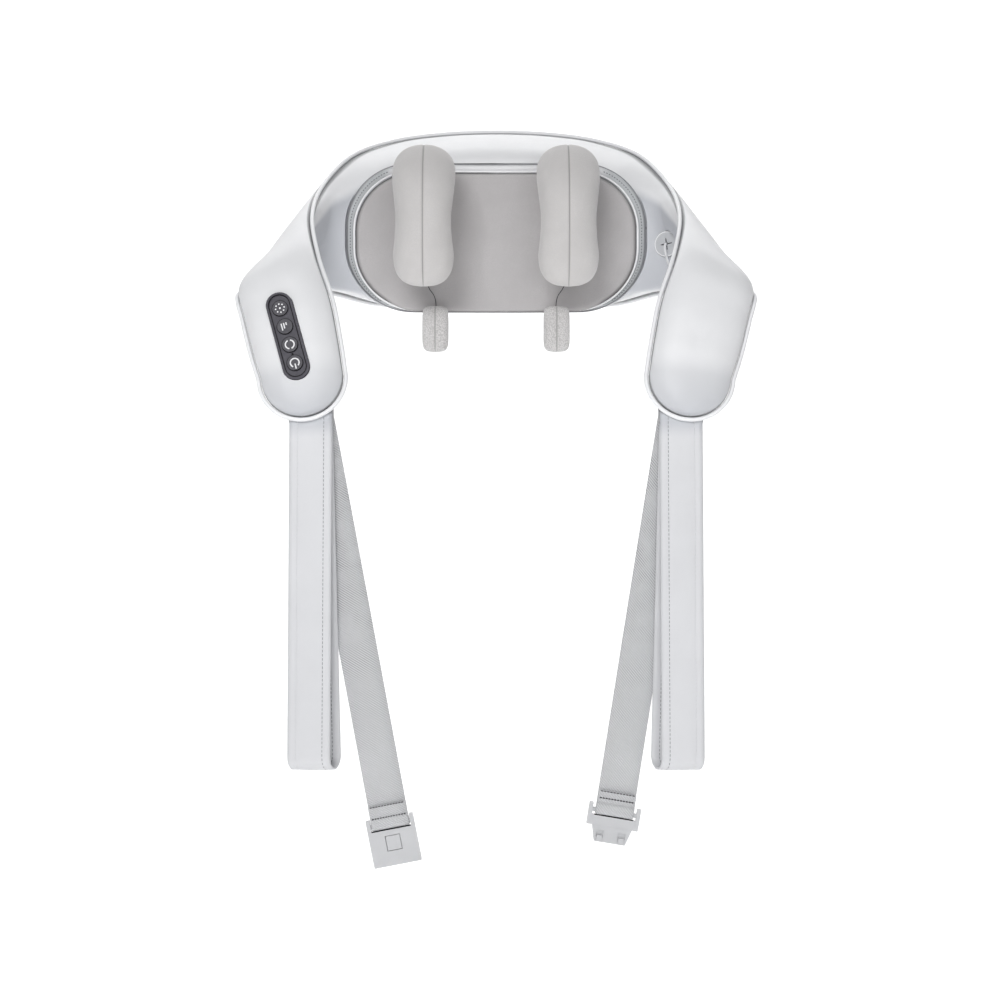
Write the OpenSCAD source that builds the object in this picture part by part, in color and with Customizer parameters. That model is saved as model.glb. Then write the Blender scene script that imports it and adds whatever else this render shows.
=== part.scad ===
// Shiatsu neck massager: a padded collar with two kneading claws, worn on the shoulders.
// Frame: X to the wearer's left, Y away from the neck, Z up. The origin is the middle of the
// fabric panel's front face, where the nape rests. Millimetres.

/* [Panel and housing] */
// Width of the fabric massage panel
panel_w = 224; // [220:1:228]
// Height of the fabric massage panel
panel_h = 110; // [106:1:112]
// Corner radius of the fabric massage panel
panel_r = 48; // [44:1:50]
// Radius of the panel's hollow in plan, which fits round a nape
panel_curve = 600; // [560:10:700]
// Width of the plastic drive housing
housing_w = 192; // [188:1:194]
// Height of the plastic drive housing
housing_h = 91; // [88:1:92]

/* [Kneading drive] */
// Distance of the main shaft behind the panel's front face
shaft_y = 26; // [25:0.5:26.5]
// Distance of each claw's middle from the centre line
claw_x = 56; // [54:1:58]
// Tilt of the oblique hubs, which makes the claws knead
hub_tilt = 5; // [3:0.5:5]
// Eccentricity of the hubs
hub_offset = 3; // [2:0.5:3]
// Teeth on the worm wheel
wheel_teeth = 24; // [24:1:24]

/* [Straps] */
// Width of the woven webbing
webbing_w = 28; // [26:1:30]
// Thickness of the woven webbing
webbing_t = 1.5; // [1.2:0.1:1.6]
// Width of the padded hand loops
loop_w = 31; // [29:1:33]
// Sideways splay of the left webbing, in degrees
left_splay = 11; // [9:0.5:12]
// Sideways splay of the right webbing, in degrees
right_splay = 9.5; // [8:0.5:11]

/* [Controls] */
// Diameter of each push button
button_d = 11.2; // [10:0.2:11.6]
// Distance between neighbouring buttons
button_pitch = 14.4; // [13.8:0.2:15]
// Travel of each push button
button_travel = 0.8; // [0.4:0.1:1]

/* [Hidden] */
$fn = 48;
gap = 0.3;      // clearance between pieces that only lie beside each other

// ---- Colours -------------------------------------------------------------------------------
leather = [0.93, 0.93, 0.94];
fabric = [0.72, 0.71, 0.71];
pad_fabric = [0.80, 0.79, 0.79];
strap_grey = [0.80, 0.81, 0.83];
dark = [0.29, 0.28, 0.31];
plastic = [0.86, 0.86, 0.87];
steel = [0.66, 0.67, 0.69];

// ---- Collar shape --------------------------------------------------------------------------
// Edge stations of the right half, from the middle of the back (0) to the top of the wing's round
// end (9). The top edge becomes the wing's inner edge, and the bottom edge its outer edge.
top_edge = [
    [0, 58, 96], [45, 57, 94], [85, 48, 86.5], [117, 24, 70], [137.5, -14, 39.5],
    [142, -60, 8], [134, -99, -27], [122, -114, -61], [115.5, -122, -91], [111, -128.5, -117.5]
];
bottom_edge = [
    [0, 54, -46], [50, 53, -46], [98, 42, -45], [136, 14, -39], [166, -26, -42],
    [185, -70, -49], [190, -102, -56], [184.5, -113, -76], [177.5, -121, -101], [170.5, -128, -121]
];
front_bulge = [10, 10, 10, 8, 6, 7, 11, 12, 12, 11];     // of the outer face
rear_bulge = [54, 54, 52, 44, 14, 9, 8, 8, 8, 8];         // of the inner face
edge_half = 2;          // half thickness of the pads where they meet the piping
last = len(top_edge) - 1;
wing_seam = 4;          // station where the wings join the back

function mirrored(p) = [-p[0], p[1], p[2]];
function station(list, i) =
    i < 0 ? mirrored(list[-i]) : i > last ? 2 * list[last] - list[last - 1] : list[i];
function cubic(a, b, c, d, t) =
    0.5 * (2 * b + (c - a) * t + (2 * a - 5 * b + 4 * c - d) * t * t
        + (3 * b - a - 3 * c + d) * t * t * t);
function along(list, u) = let(i = min(last - 1, floor(u)))
    cubic(station(list, i - 1), station(list, i), station(list, i + 1), station(list, i + 2), u - i);
function mix(a, b, t) = a * (1 - t) + b * t;
function number_at(list, u) = let(i = max(0, min(last - 1, floor(u))), t = min(1, u - i))
    mix(list[i], list[i + 1], t * t * (3 - 2 * t));
function unit(v) = v / norm(v);

// The wing's round end: stations past 9 run round a half circle about its middle.
end_middle = (top_edge[last] + bottom_edge[last]) / 2;
end_across = (bottom_edge[last] - top_edge[last]) / 2;
end_down = unit(cross(cross(end_across, end_middle - (top_edge[last - 1] + bottom_edge[last - 1]) / 2),
    end_across)) * norm(end_across);
function edge_point(list, u, side) = u <= last ? along(list, u)
    : end_middle + end_across * side * cos((u - last) * 90) + end_down * sin((u - last) * 90);
function top_at(u) = edge_point(top_edge, u, -1);
function bottom_at(u) = edge_point(bottom_edge, u, 1);
function spine(u) = (top_at(u) + bottom_at(u)) / 2;
function heading(u) = u > last ? unit(end_down) : unit(spine(min(last, u + 0.05)) - spine(u - 0.05));
function spine_safe(u) = u < 0 ? mirrored(spine(-u)) : spine(u);
function heading_safe(u) = u < 0.05 ? unit(spine(u + 0.05) - spine_safe(u - 0.05)) : heading(u);
function outward(u) = unit(cross(heading_safe(u), bottom_at(u) - top_at(u)));
function end_taper(u) = u <= last ? 1 : sqrt(max(0, 1 - pow((u - last) / 1.02, 2)));

// Share of the bulge across the band, s from 0 at the top edge to 1 at the bottom edge.
function pillow(s) = pow(1 - pow(abs(2 * s - 1), 2.6), 0.6);
// The back's inner face is boxy: it slopes in at the top, stands flat, reaches past the bottom edge
// by under_reach and comes back to it along the underside. Towards the wings it turns into a pillow.
under_reach = 1.085;
function boxiness(u) = u < 2.5 ? 1 : u > 4 ? 0 : (4 - u) / 1.5;
function box_share(s) = s < 0.22 ? pow(sin(90 * s / 0.22), 0.85) : s > 0.93 ? (1 - s) / 0.07 : 1;
function box_place(s) = s < 0.93 ? s * under_reach / 0.93 : mix(under_reach, 1, (s - 0.93) / 0.07);
function rear_share(u, s) = mix(pillow(s), box_share(s), boxiness(u));
function rear_place(u, s) = mix(s, box_place(s), boxiness(u));

front_steps = [for (i = [0 : 12]) i / 12];
rear_steps = [0, 0.05, 0.1, 0.16, 0.22, 0.34, 0.46, 0.58, 0.7, 0.8, 0.88, 0.93, 0.965, 1];
function front_point(u, s) = mix(top_at(u), bottom_at(u), s)
    + outward(u) * (edge_half + number_at(front_bulge, u) * pillow(s) * end_taper(u));
function rear_point(u, s) = mix(top_at(u), bottom_at(u), rear_place(u, s))
    - outward(u) * (edge_half + number_at(rear_bulge, u) * rear_share(u, s) * end_taper(u));
function seam_point(u, list_end, side) = list_end + outward(u) * side * gap / 2;
function front_ring(u) = concat([seam_point(u, bottom_at(u), 1), seam_point(u, top_at(u), 1)],
    [for (s = front_steps) front_point(u, s)]);
function rear_ring(u) = concat([seam_point(u, top_at(u), -1), seam_point(u, bottom_at(u), -1)],
    [for (i = [len(rear_steps) - 1 : -1 : 0]) rear_point(u, rear_steps[i])]);

// A closed skin over a list of rings that all have the same number of points. Each four-sided patch
// is split along one diagonal, or along the other with mirror_split.
module skin(rings, mirror_split = false) {
    m = len(rings[0]);
    n = len(rings);
    walls = [for (i = [0 : n - 2], j = [0 : m - 1])
        let(k = (j + 1) % m, a = i * m + j, b = i * m + k, c = (i + 1) * m + k, d = (i + 1) * m + j)
            each mirror_split ? [[a, b, d], [b, c, d]] : [[a, b, c], [a, c, d]]];
    caps = [[for (j = [m - 1 : -1 : 0]) j], [for (j = [0 : m - 1]) (n - 1) * m + j]];
    polyhedron(points = [for (r = rings) each r], faces = concat(walls, caps), convexity = 6);
}

wing_stations = [for (i = [0 : 10]) wing_seam + 0.02 + i * (last - wing_seam - 0.02) / 10];
end_stations = [for (i = [1 : 4]) last + i * 0.21];
back_stations = [for (i = [0 : 16]) i * (wing_seam - 0.02) / 16];

module right_wing_pad(front) {
    skin([for (u = concat(wing_stations, end_stations)) front ? front_ring(u) : rear_ring(u)], !front);
}

// The back runs from one wing seam to the other; its left half mirrors its right half, point by
// point, so that the two halves are one skin.
module back_pad(front) {
    half = [for (u = back_stations) front ? front_ring(u) : rear_ring(u)];
    far = [for (i = [len(half) - 1 : -1 : 1]) [for (p = half[i]) mirrored(p)]];
    skin(concat(far, half), !front);
}

// ---- Outlines in the panel's plane ----------------------------------------------------------
module round_box(w, h, r) {
    square([w, h - 2 * r], center = true);
    square([w - 2 * r, h], center = true);
    for (x = [-1, 1], y = [-1, 1]) translate([x * (w / 2 - r), y * (h / 2 - r)]) circle(r = r);
}
// Extrudes a drawing of the XZ plane from y0 to y1.
module standing(y0, y1) {
    translate([0, y1, 0]) rotate([90, 0, 0]) linear_extrude(height = y1 - y0) children();
}
// A vertical drum whose front face is the panel's hollow, moved back by set_back.
module hollow_drum(set_back) {
    translate([0, -panel_curve, -150]) cylinder(h = 300, r = panel_curve + set_back, $fn = 200);
}
panel_z = -1;       // height of the panel's middle
cover_t = 3;        // thickness of the fabric and its foam
ring_w = 7;         // width of the zip ring at the top and sides
ring_lift = 2.5;    // the ring is wider above the panel than below it
module panel_outline(grow) {
    translate([0, panel_z]) round_box(panel_w + 2 * grow, panel_h + 2 * grow, panel_r + grow);
}
module ring_outline(grow) {
    translate([0, panel_z + ring_lift])
        round_box(panel_w + 2 * ring_w + 2 * grow, panel_h + 9 + 2 * grow, panel_r + 4 + grow);
}

// ---- Claws: places and openings --------------------------------------------------------------
arm_t = 12;              // thickness of each claw arm, along X
upper_slot = [27, 40];   // width and height of the opening for the upper arm
upper_slot_z = 26;
swing_in = 2.5;          // the claws swing inwards, so their openings stand this far inwards
thumb_in = 8;            // the thumbs stand this much nearer the centre line than the palms
// Openings through the panel for the upper arms, drawn in its plane.
module upper_openings() for (x = [-1, 1]) translate([x * (claw_x - swing_in), upper_slot_z])
    round_box(upper_slot[0], upper_slot[1], 9);
// Openings through the underside for the lower arms.
module lower_openings() for (x = [-1, 1])
    translate([x * (claw_x - thumb_in - swing_in / 2) - 14, 5.2, -75]) cube([28, 19, 50]);

// ---- Covers -----------------------------------------------------------------------------------
hump_w = 34;
hump_top = 61;
housing_front = 4.5;     // set back of the housing's front face behind the panel's front face
housing_rear = 50.5;
wall = 2.5;
module housing_plan(shrink) {
    half = housing_w / 2;
    side = housing_rear - 14;
    polygon([[-half + shrink, -40], [-half + shrink, side], [-68, housing_rear - shrink],
        [68, housing_rear - shrink], [half - shrink, side], [half - shrink, -40]]);
}
module housing_body(shrink) {
    difference() {
        intersection() {
            union() {
                standing(-40, 38) round_box(housing_w - 2 * shrink, housing_h - 2 * shrink, 42 - shrink);
                standing(-40, 60) round_box(housing_w - 12, housing_h - 8 - 2 * shrink, 38 - shrink);
            }
            translate([0, 0, -80]) linear_extrude(height = 160) housing_plan(shrink);
        }
        hollow_drum(housing_front + shrink);
    }
    translate([-hump_w / 2 + shrink, 8.5 + shrink, 0])
        cube([hump_w - 2 * shrink, housing_rear - 8.5 - 2 * shrink, hump_top - shrink]);
}

module back_outer_cover() color(leather) back_pad(true);
module back_inner_cover() color(leather) difference() {
    back_pad(false);
    housing_body(-gap);
    lower_openings();
    standing(-60, 24) upper_openings();
    intersection() {
        standing(-60, 30) ring_outline(gap);
        hollow_drum(cover_t + gap);
    }
    grommet_seat();
}
module fabric_panel() color(fabric) difference() {
    intersection() {
        standing(-60, 30) panel_outline(0);
        difference() {
            hollow_drum(cover_t);
            hollow_drum(0);
        }
    }
    standing(-60, 30) upper_openings();
}
module zip_ring() color(leather) difference() {
    intersection() {
        standing(-60, 30) ring_outline(0);
        difference() {
            hollow_drum(cover_t);
            hollow_drum(0.8);
        }
    }
    standing(-60, 30) panel_outline(gap);
}
// The slider and its pull lie on the ring's top stretch, behind the right palm.
zip_x = 56;
zip_turn = asin(zip_x / panel_curve);
module zip_slider() color(steel) translate([zip_x, panel_curve * (cos(zip_turn) - 1) - 0.8,
    panel_z + panel_h / 2 + 3.6]) rotate([0, 0, -zip_turn]) {
    translate([-4, -0.6, -2]) cube([8, 1.6, 4]);
    difference() {
        translate([-18, -0.5, -1.5]) cube([14.2, 1, 3]);
        translate([-15.8, 1, 0]) rotate([90, 0, 0]) cylinder(h = 3, r = 0.9, $fn = 24);
    }
}

module left_wing_front_pad() color(leather) mirror([1, 0, 0]) difference() {
    right_wing_pad(true);
    on_controls(1) translate([0, 0, -9.5]) linear_extrude(height = 30)
        stadium(bezel_l + 2 * gap, bezel_w + 2 * gap);
}
module right_wing_front_pad() color(leather) right_wing_pad(true);
module wing_rear_common() difference() {
    right_wing_pad(false);
    anchor_room();
}
module left_wing_rear_pad() color(leather) mirror([1, 0, 0]) wing_rear_common();
module right_wing_rear_pad() color(leather) difference() {
    wing_rear_common();
    on_wing_rear() translate([-battery[0] / 2 - 1.8, -battery[1] / 2 - 1.8, -8])
        cube([battery[0] + 3.6, battery[1] + 3.6, battery[2] + 8.7]);
    on_wing_rear() translate([-6, -battery[1] / 2 - 9, 1.3]) cube([12, 9, 12]);
    grommet_seat();
    lead_hole();
}

// Round piping in the seam between the front and rear pads, all round the collar.
piping_r = 1.6;
piping_out = 2.2;
function piping_side(u, side) = let(t = top_at(u), b = bottom_at(u), out = unit(b - t) * piping_out)
    side < 0 ? t - out : b + out;
function piping_end(turn) =
    end_middle + (end_across * cos(turn) + end_down * sin(turn)) * (1 + piping_out / norm(end_across));
piping_stations = concat(back_stations, [for (i = [1 : 9]) wing_stations[i]]);
end_turns = [for (i = [0 : 10]) 180 - i * 18];
piping_half = concat(
    [for (u = piping_stations) piping_side(u, -1)],
    [for (turn = end_turns) piping_end(turn)],
    [for (i = [len(piping_stations) - 1 : -1 : 0]) piping_side(piping_stations[i], 1)]);
piping_path = concat(piping_half,
    [for (i = [len(piping_half) - 2 : -1 : 1]) mirrored(piping_half[i])]);
module tube_loop(path, r, sides) {
    n = len(path);
    rings = [for (i = [0 : n - 1])
        let(d = unit(path[(i + 1) % n] - path[(i + n - 1) % n]),
            a = unit(cross(d, [0.13, 1, 0.11])), b = cross(d, a))
            [for (j = [0 : sides - 1]) path[i] + r * (a * cos(360 * j / sides) + b * sin(360 * j / sides))]];
    polyhedron(points = [for (g = rings) each g], faces = [for (i = [0 : n - 1], j = [0 : sides - 1])
        let(p = (i + 1) % n, q = (j + 1) % sides)
            each [[i * sides + j, p * sides + q, i * sides + q], [i * sides + j, p * sides + j, p * sides + q]]]);
}
module edge_piping() color(leather) tube_loop(piping_path, piping_r, 8);

// ---- Housing ----------------------------------------------------------------------------------
split_y = 28;
screw_spots = [[-86, 0], [86, 0], [-30, 34], [30, 34], [-24, -35], [24, -35]];
module housing_shell(y0, y1) difference() {
    intersection() {
        housing_body(0);
        translate([-120, y0, -80]) cube([240, y1 - y0, 160]);
    }
    difference() {
        housing_body(wall);
        for (p = screw_spots) translate([p[0], 80, p[1]]) rotate([90, 0, 0]) cylinder(h = 120, r = 3.6);
    }
}
module front_housing() color(plastic) difference() {
    housing_shell(-40, split_y - 0.05);
    standing(-60, 24) upper_openings();
    lower_openings();
    for (p = screw_spots) translate([p[0], split_y + 1, p[1]]) rotate([90, 0, 0]) cylinder(h = 15, r = 1.3);
}
module rear_housing() color(plastic) difference() {
    housing_shell(split_y + 0.05, 60);
    for (p = screw_spots) translate([p[0], 70, p[1]]) rotate([90, 0, 0]) {
        cylinder(h = 60, r = 1.7);
        cylinder(h = 70 - screw_seat(p), r = 3);
    }
}
function screw_seat(p) = abs(p[0]) > 80 ? 34 : 44;
module housing_screws() color(steel) for (p = screw_spots)
    translate([p[0], screw_seat(p) + 0.1, p[1]]) rotate([90, 0, 0]) screw(2.6, 1.8, screw_seat(p) - 16, 1.25);
// A pan-head screw that points along +Z from the underside of its head at z = 0.
module screw(head_r, head_h, length, r) {
    translate([0, 0, -head_h]) difference() {
        cylinder(h = head_h, r = head_r);
        translate([-head_r * 0.6, -0.3, -0.1]) cube([head_r * 1.2, 0.6, 0.8]);
        translate([-0.3, -head_r * 0.6, -0.1]) cube([0.6, head_r * 1.2, 0.8]);
    }
    cylinder(h = length, r = r);
}

// ---- Gearbox and motor -------------------------------------------------------------------------
wheel_r = wheel_teeth / 2;           // pitch radius at module 1
tooth_phase = 5;                     // turns the wheel so that its teeth stand in the worm's thread
worm_r = 4;
motor_lean = 20;                     // the motor leans forward as it rises
module on_worm_axis() translate([0, shaft_y + (wheel_r + worm_r) * cos(motor_lean),
    (wheel_r + worm_r) * sin(motor_lean)]) rotate([motor_lean, 0, 0]) children();
module on_shaft() translate([0, shaft_y, 0]) rotate([0, 90, 0]) children();
gearbox_half = 13;
module gearbox_blank() {
    on_shaft() cylinder(h = 2 * gearbox_half, r = 18.5, center = true);
    on_worm_axis() translate([-gearbox_half + 0.5, -6.6, -14]) cube([2 * gearbox_half - 1, 12.8, 33]);
}
module gearbox_half_shell(side) difference() {
    intersection() {
        gearbox_blank();
        translate([side > 0 ? 0.05 : -40, -10, -40]) cube([39.95, 58, 90]);
    }
    on_shaft() cylinder(h = 8, r = 14.2, center = true);
    on_shaft() cylinder(h = 60, r = 4.5, center = true);
    on_worm_axis() {
        translate([0, 0, -10.5]) cylinder(h = 26, r = 5.4);
        translate([0, 0, -13]) cylinder(h = 4, r = 2.65);
        translate([0, 0, 15]) cylinder(h = 10, r = 3.5);
        for (x = [-1, 1]) translate([x * 8.5, 0, 5]) cylinder(h = 30, r = 0.95, $fn = 24);
    }
    for (p = gearbox_screw_spots) translate([-20, p[0], p[1]]) rotate([0, 90, 0]) cylinder(h = 40, r = 1.2);
}
gearbox_screw_spots = [for (a = [-60, 200, 130]) [shaft_y + 16.3 * cos(a), 16.3 * sin(a)]];
module gearbox_left_half() color(plastic) gearbox_half_shell(-1);
module gearbox_right_half() color(plastic) gearbox_half_shell(1);
module gearbox_screws() color(steel) for (p = gearbox_screw_spots)
    translate([-gearbox_half - 0.1, p[0], p[1]]) rotate([0, 90, 0]) screw(2.2, 1.4, 24, 1.1);
module motor_can() color(steel) on_worm_axis() difference() {
    translate([0, 0, 19.2]) union() {
        cylinder(h = 31, r = 12);
        translate([0, 0, 31]) cylinder(h = 1.6, r = 4);
        translate([0, 0, -2.5]) cylinder(h = 2.6, r = 3.3);
    }
    translate([0, 0, 10]) cylinder(h = 12, r = 1.6);
    for (x = [-1, 1]) translate([x * 8.5, 0, 15]) cylinder(h = 8, r = 0.95, $fn = 24);
}
module motor_screws() color(steel) on_worm_axis() for (x = [-1, 1])
    translate([x * 8.5, 0, 12.5]) cylinder(h = 9.5, r = 0.85, $fn = 24);
worm_lead = 2 * PI * wheel_r / wheel_teeth;
thread_len = 4 * worm_lead;
thread_phase = 90;
module worm() color("goldenrod") on_worm_axis() {
    translate([0, 0, -thread_len / 2]) linear_extrude(height = thread_len, twist = -360 * 4, slices = 72)
        rotate(thread_phase) polygon(concat(
            [for (a = [60 : 60 : 300]) 2.8 * [cos(a + 0), sin(a + 0)]],
            [for (a = [-54 : 27 : 54]) 4.8 * [cos(a), sin(a)]]));
    translate([0, 0, -12.5]) cylinder(h = 6.5, r = 1.5);
    translate([0, 0, 6]) cylinder(h = 15.5, r = 1.5);
}
module worm_bush() color("goldenrod") on_worm_axis() translate([0, 0, -12.9]) difference() {
    cylinder(h = 2.2, r = 2.6);
    translate([0, 0, -1]) cylinder(h = 5, r = 1.55);
}
shaft_r = 2.5;
shaft_half = 74;
module main_shaft() color(steel) on_shaft() cylinder(h = 2 * shaft_half, r = shaft_r, center = true);
module worm_wheel() color("goldenrod") on_shaft() difference() {
    union() {
        worm_wheel_teeth();
        cylinder(h = 7.6, r = 6, center = true);
    }
    cylinder(h = 20, r = shaft_r + 0.02, center = true);
}
module worm_wheel_teeth() rotate(tooth_phase) linear_extrude(height = 5, center = true) {
    circle(r = wheel_r - 1.15);
    for (i = [0 : wheel_teeth - 1]) rotate(i * 360 / wheel_teeth) translate([wheel_r - 1.6, 0])
        polygon([[0, -0.75], [2.4, -0.35], [2.4, 0.35], [0, 0.75]]);
}
module shaft_bushes() color("goldenrod") {
    for (x = [-1, 1]) translate([x * 10, 0, 0]) on_shaft() bush(4, 4.45, shaft_r + 0.05);
    for (x = [-1, 1]) translate([x * 71.5, 0, 0]) on_shaft() bush(4, 4.45, shaft_r + 0.05);
}
module bush(h, r_out, r_in) difference() {
    cylinder(h = h, r = r_out, center = true);
    cylinder(h = h + 2, r = r_in, center = true);
}

// ---- Hubs, bearings and claws -------------------------------------------------------------------
hub_r = 7.5;
bearing_r = 12;
bearing_t = 5;
ring_r = 16.5;
// The oblique hub axis on one side: leans in plan, and its middle is off the shaft by hub_offset.
module on_hub(side) translate([side * claw_x, shaft_y, hub_offset])
    rotate([0, 0, side * hub_tilt]) rotate([0, 90, 0]) children();
module hub(side) color(plastic) difference() {
    union() {
        on_hub(side) cylinder(h = 10, r = hub_r - 0.02, center = true);
        on_hub(side) translate([0, 0, side * 4]) cylinder(h = 2.4, r = hub_r + 1, center = true);
    }
    on_shaft() cylinder(h = 200, r = shaft_r + 0.02, center = true);
}
module left_hub() hub(-1);
module right_hub() hub(1);
module bearing_inner(side) color(steel) on_hub(side) {
    bush(bearing_t, 8.7, hub_r);
    for (i = [0 : 9]) rotate(i * 36) translate([9.75, 0, 0]) sphere(r = 1, $fn = 24);
}
module left_bearing_inner() bearing_inner(-1);
module right_bearing_inner() bearing_inner(1);
module bearing_outer(side) color(steel) on_hub(side) bush(bearing_t, bearing_r, 10.8);
module left_bearing_outer() bearing_outer(-1);
module right_bearing_outer() bearing_outer(1);

// The arm's side view, [y, z]: the upper branch goes out over the panel and down inside the palm,
// and the lower branch goes out through the underside and forward into the thumb.
upper_branch = [[20, 12], [15, 25], [-4, 39], [-20, 49], [-34, 52], [-45, 44], [-52, 28], [-55, 8],
    [-53, -20], [-47, -21], [-47.5, 6], [-44, 24], [-36, 40], [-24, 39], [-8, 28], [6, 15], [12, 8]];
lower_branch = [[24, -12], [20, -34], [18, -54], [12, -67], [-2, -74], [-9, -84], [-15, -81],
    [-9, -70], [2, -65.5], [9, -61], [11.5, -50], [12, -30], [14, -14]];
// Extrudes a [y, z] drawing to x0..x1.
module sideways(x0, x1) translate([x0, 0, 0]) rotate([90, 0, 90]) linear_extrude(height = x1 - x0) children();
module claw_arm(side) color(plastic) difference() {
    union() {
        on_hub(side) cylinder(h = 8, r = ring_r, center = true);
        translate([side * claw_x, 0, 0]) sideways(-arm_t / 2, arm_t / 2) polygon(upper_branch);
        translate([side * (claw_x - thumb_in), 0, 0]) sideways(-5, 5) polygon(lower_branch);
        translate([side * (claw_x - thumb_in / 2), 0, 0]) sideways(-8, 8)
            polygon([[14, -12], [12, -22], [24, -20], [26, -12]]);
    }
    on_hub(side) {
        cylinder(h = 12, r = bearing_r, center = true);
        cylinder(h = 60, r = 11, center = true);
    }
}
module left_claw_arm() claw_arm(-1);
module right_claw_arm() claw_arm(1);
heat_plate = [24, 1.2, 46];
module heat_plate_on(side) color("silver") translate([side * claw_x - heat_plate[0] / 2, -57.4, -20])
    rotate([3, 0, 0]) cube(heat_plate);
module left_heat_plate() heat_plate_on(-1);
module right_heat_plate() heat_plate_on(1);

// Palm: an oval lobe swept along a hook. Each row is [y, z, half width, half depth, slope], where
// the slope is the sweep's direction in the side view, in degrees above forwards.
palm_rows = [
    [-11, 38, 13, 11, 18], [-17, 43, 18, 15.5, 20], [-26, 48.5, 22.4, 18.5, 8],
    [-36, 48.5, 24.2, 20, -16], [-45, 40, 24.4, 19.5, -45], [-50.5, 26, 23, 18.6, -68],
    [-52, 10, 21.4, 17.8, -86], [-51.5, -6, 22, 17.6, -92], [-50.5, -19, 23.4, 17.2, -95],
    [-48.5, -30, 22, 15.5, -99], [-47, -37.5, 17.5, 11.5, -102], [-46, -42, 9.5, 6, -104]
];
function oval(row, n) = [for (i = [0 : n - 1]) let(a = 360 * i / n, across = sin(a) * row[3])
    [cos(a) * row[2], row[0] + across * sin(row[4]), row[1] + across * cos(row[4])]];
module palm_pad(side) color(pad_fabric) difference() {
    translate([side * claw_x, 0, 0]) skin([for (r = palm_rows) oval(r, 20)]);
    translate([side * claw_x, 0, 0]) sideways(-arm_t / 2 - 0.2, arm_t / 2 + 0.2)
        offset(delta = 0.3) polygon(upper_branch);
    translate([side * claw_x - heat_plate[0] / 2 - 0.3, -57.9, -20.4]) rotate([3, 0, 0])
        cube([heat_plate[0] + 0.6, heat_plate[1] + 0.9, heat_plate[2] + 0.8]);
}
module left_palm_pad() palm_pad(-1);
module right_palm_pad() palm_pad(1);

thumb_rows = [
    [-13, -55.5, 7.4, 3.6, -90], [-13, -58.5, 9.6, 5.6, -90], [-13.4, -64, 10.3, 7.4, -90],
    [-14, -74, 10.4, 8, -90], [-14, -83, 10.2, 7.6, -90], [-14, -88, 8.8, 5.6, -90],
    [-14, -90.5, 5.4, 3, -90]
];
module thumb_pad(side) color(pad_fabric) translate([side * (claw_x - thumb_in), 0, 0]) difference() {
    skin([for (r = thumb_rows) oval(r, 16)]);
    sideways(-5.2, 5.2) offset(delta = 0.3) polygon(lower_branch);
}
module left_thumb_pad() thumb_pad(-1);
module right_thumb_pad() thumb_pad(1);

// ---- Controls in the left wing --------------------------------------------------------------------
wing_spot = [149.6, -134.2, -89.4];
wing_lean = 13.5;
wing_turn = 12;
control_spot = [150.6, -134.2, -89.4];
control_turn = 16.5;
bezel_l = 68;
bezel_w = 19.5;
// A frame on the right wing's outer face: Z out of the face, Y up along the wing.
module on_wing() translate(wing_spot) rotate([0, wing_turn, 0]) rotate([90 - wing_lean, 0, 0]) children();
// The controls' frame, in the left wing and as its mirror image in the right one.
module on_controls(side) translate([side * control_spot[0], control_spot[1], control_spot[2]])
    rotate([0, side * control_turn, 0]) rotate([90 - wing_lean, 0, 0]) children();
module on_left_wing() on_controls(-1) children();
// A frame behind the seam between the right wing's pads: Z towards the rear.
module on_wing_rear() on_wing() translate([0, -3, -16.2]) rotate([0, 180, 0]) children();
module stadium(l, w) {
    square([w, l - w], center = true);
    for (y = [-1, 1]) translate([0, y * (l - w) / 2]) circle(d = w);
}
button_y = [for (i = [0 : 3]) (1.5 - i) * button_pitch];
lens_y = button_y[3] + button_pitch / 2;
module control_bezel() color(dark) on_left_wing() difference() {
    translate([0, 0, -1.6]) linear_extrude(height = 3.4) stadium(bezel_l, bezel_w);
    translate([0, 0, 0.9]) linear_extrude(height = 3) stadium(bezel_l - 3, bezel_w - 3);
    for (y = button_y) translate([0, y, -3]) cylinder(h = 8, d = button_d + 0.5);
    translate([0, lens_y, -3]) cylinder(h = 8, r = 0.8, $fn = 24);
}
module button(i) color(dark) on_left_wing() translate([0, button_y[i], 0]) {
    translate([0, 0, -1.4]) cylinder(h = 3.5, d = button_d);
    translate([0, 0, -2.6]) cylinder(h = 1.2, r = 1.6);
}
module button_heat() button(0);
module button_level() button(1);
module button_direction() button(2);
module button_power() button(3);
module button_switches() color(steel) on_left_wing() for (y = button_y)
    translate([-3, y - 3, -6.4]) cube([6, 6, 6.4 - 2.6 - button_travel - 0.15]);
module control_board() color("seagreen") on_left_wing() translate([0, 0, -8])
    linear_extrude(height = 1.6) stadium(bezel_l - 3, bezel_w - 3);
module indicator_lens() color("black") on_left_wing() translate([0, lens_y, -6.4]) cylinder(h = 7.3, r = 0.7, $fn = 24);

// ---- Battery in the right wing ----------------------------------------------------------------------
battery = [34, 46, 4.2];
module battery_cell() color("silver") on_wing_rear() translate([-battery[0] / 2, -battery[1] / 2, 0.1])
    cube([battery[0], battery[1], battery[2]]);
module battery_tray() color(plastic) on_wing_rear() difference() {
    translate([-battery[0] / 2 - 1.4, -battery[1] / 2 - 1.4, -0.8])
        cube([battery[0] + 2.8, battery[1] + 2.8, battery[2] + 1.2]);
    translate([-battery[0] / 2 - 0.2, -battery[1] / 2 - 0.2, 0]) cube([battery[0] + 0.4, battery[1] + 0.4, 20]);
}
module charge_port() color(dark) on_wing_rear() difference() {
    translate([-5.5, -battery[1] / 2 - 8.4, 1.6]) cube([11, 6.6, 6.4]);
    translate([-4.5, -battery[1] / 2 - 6.7, 3]) cube([9, 3.2, 10]);
}

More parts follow.
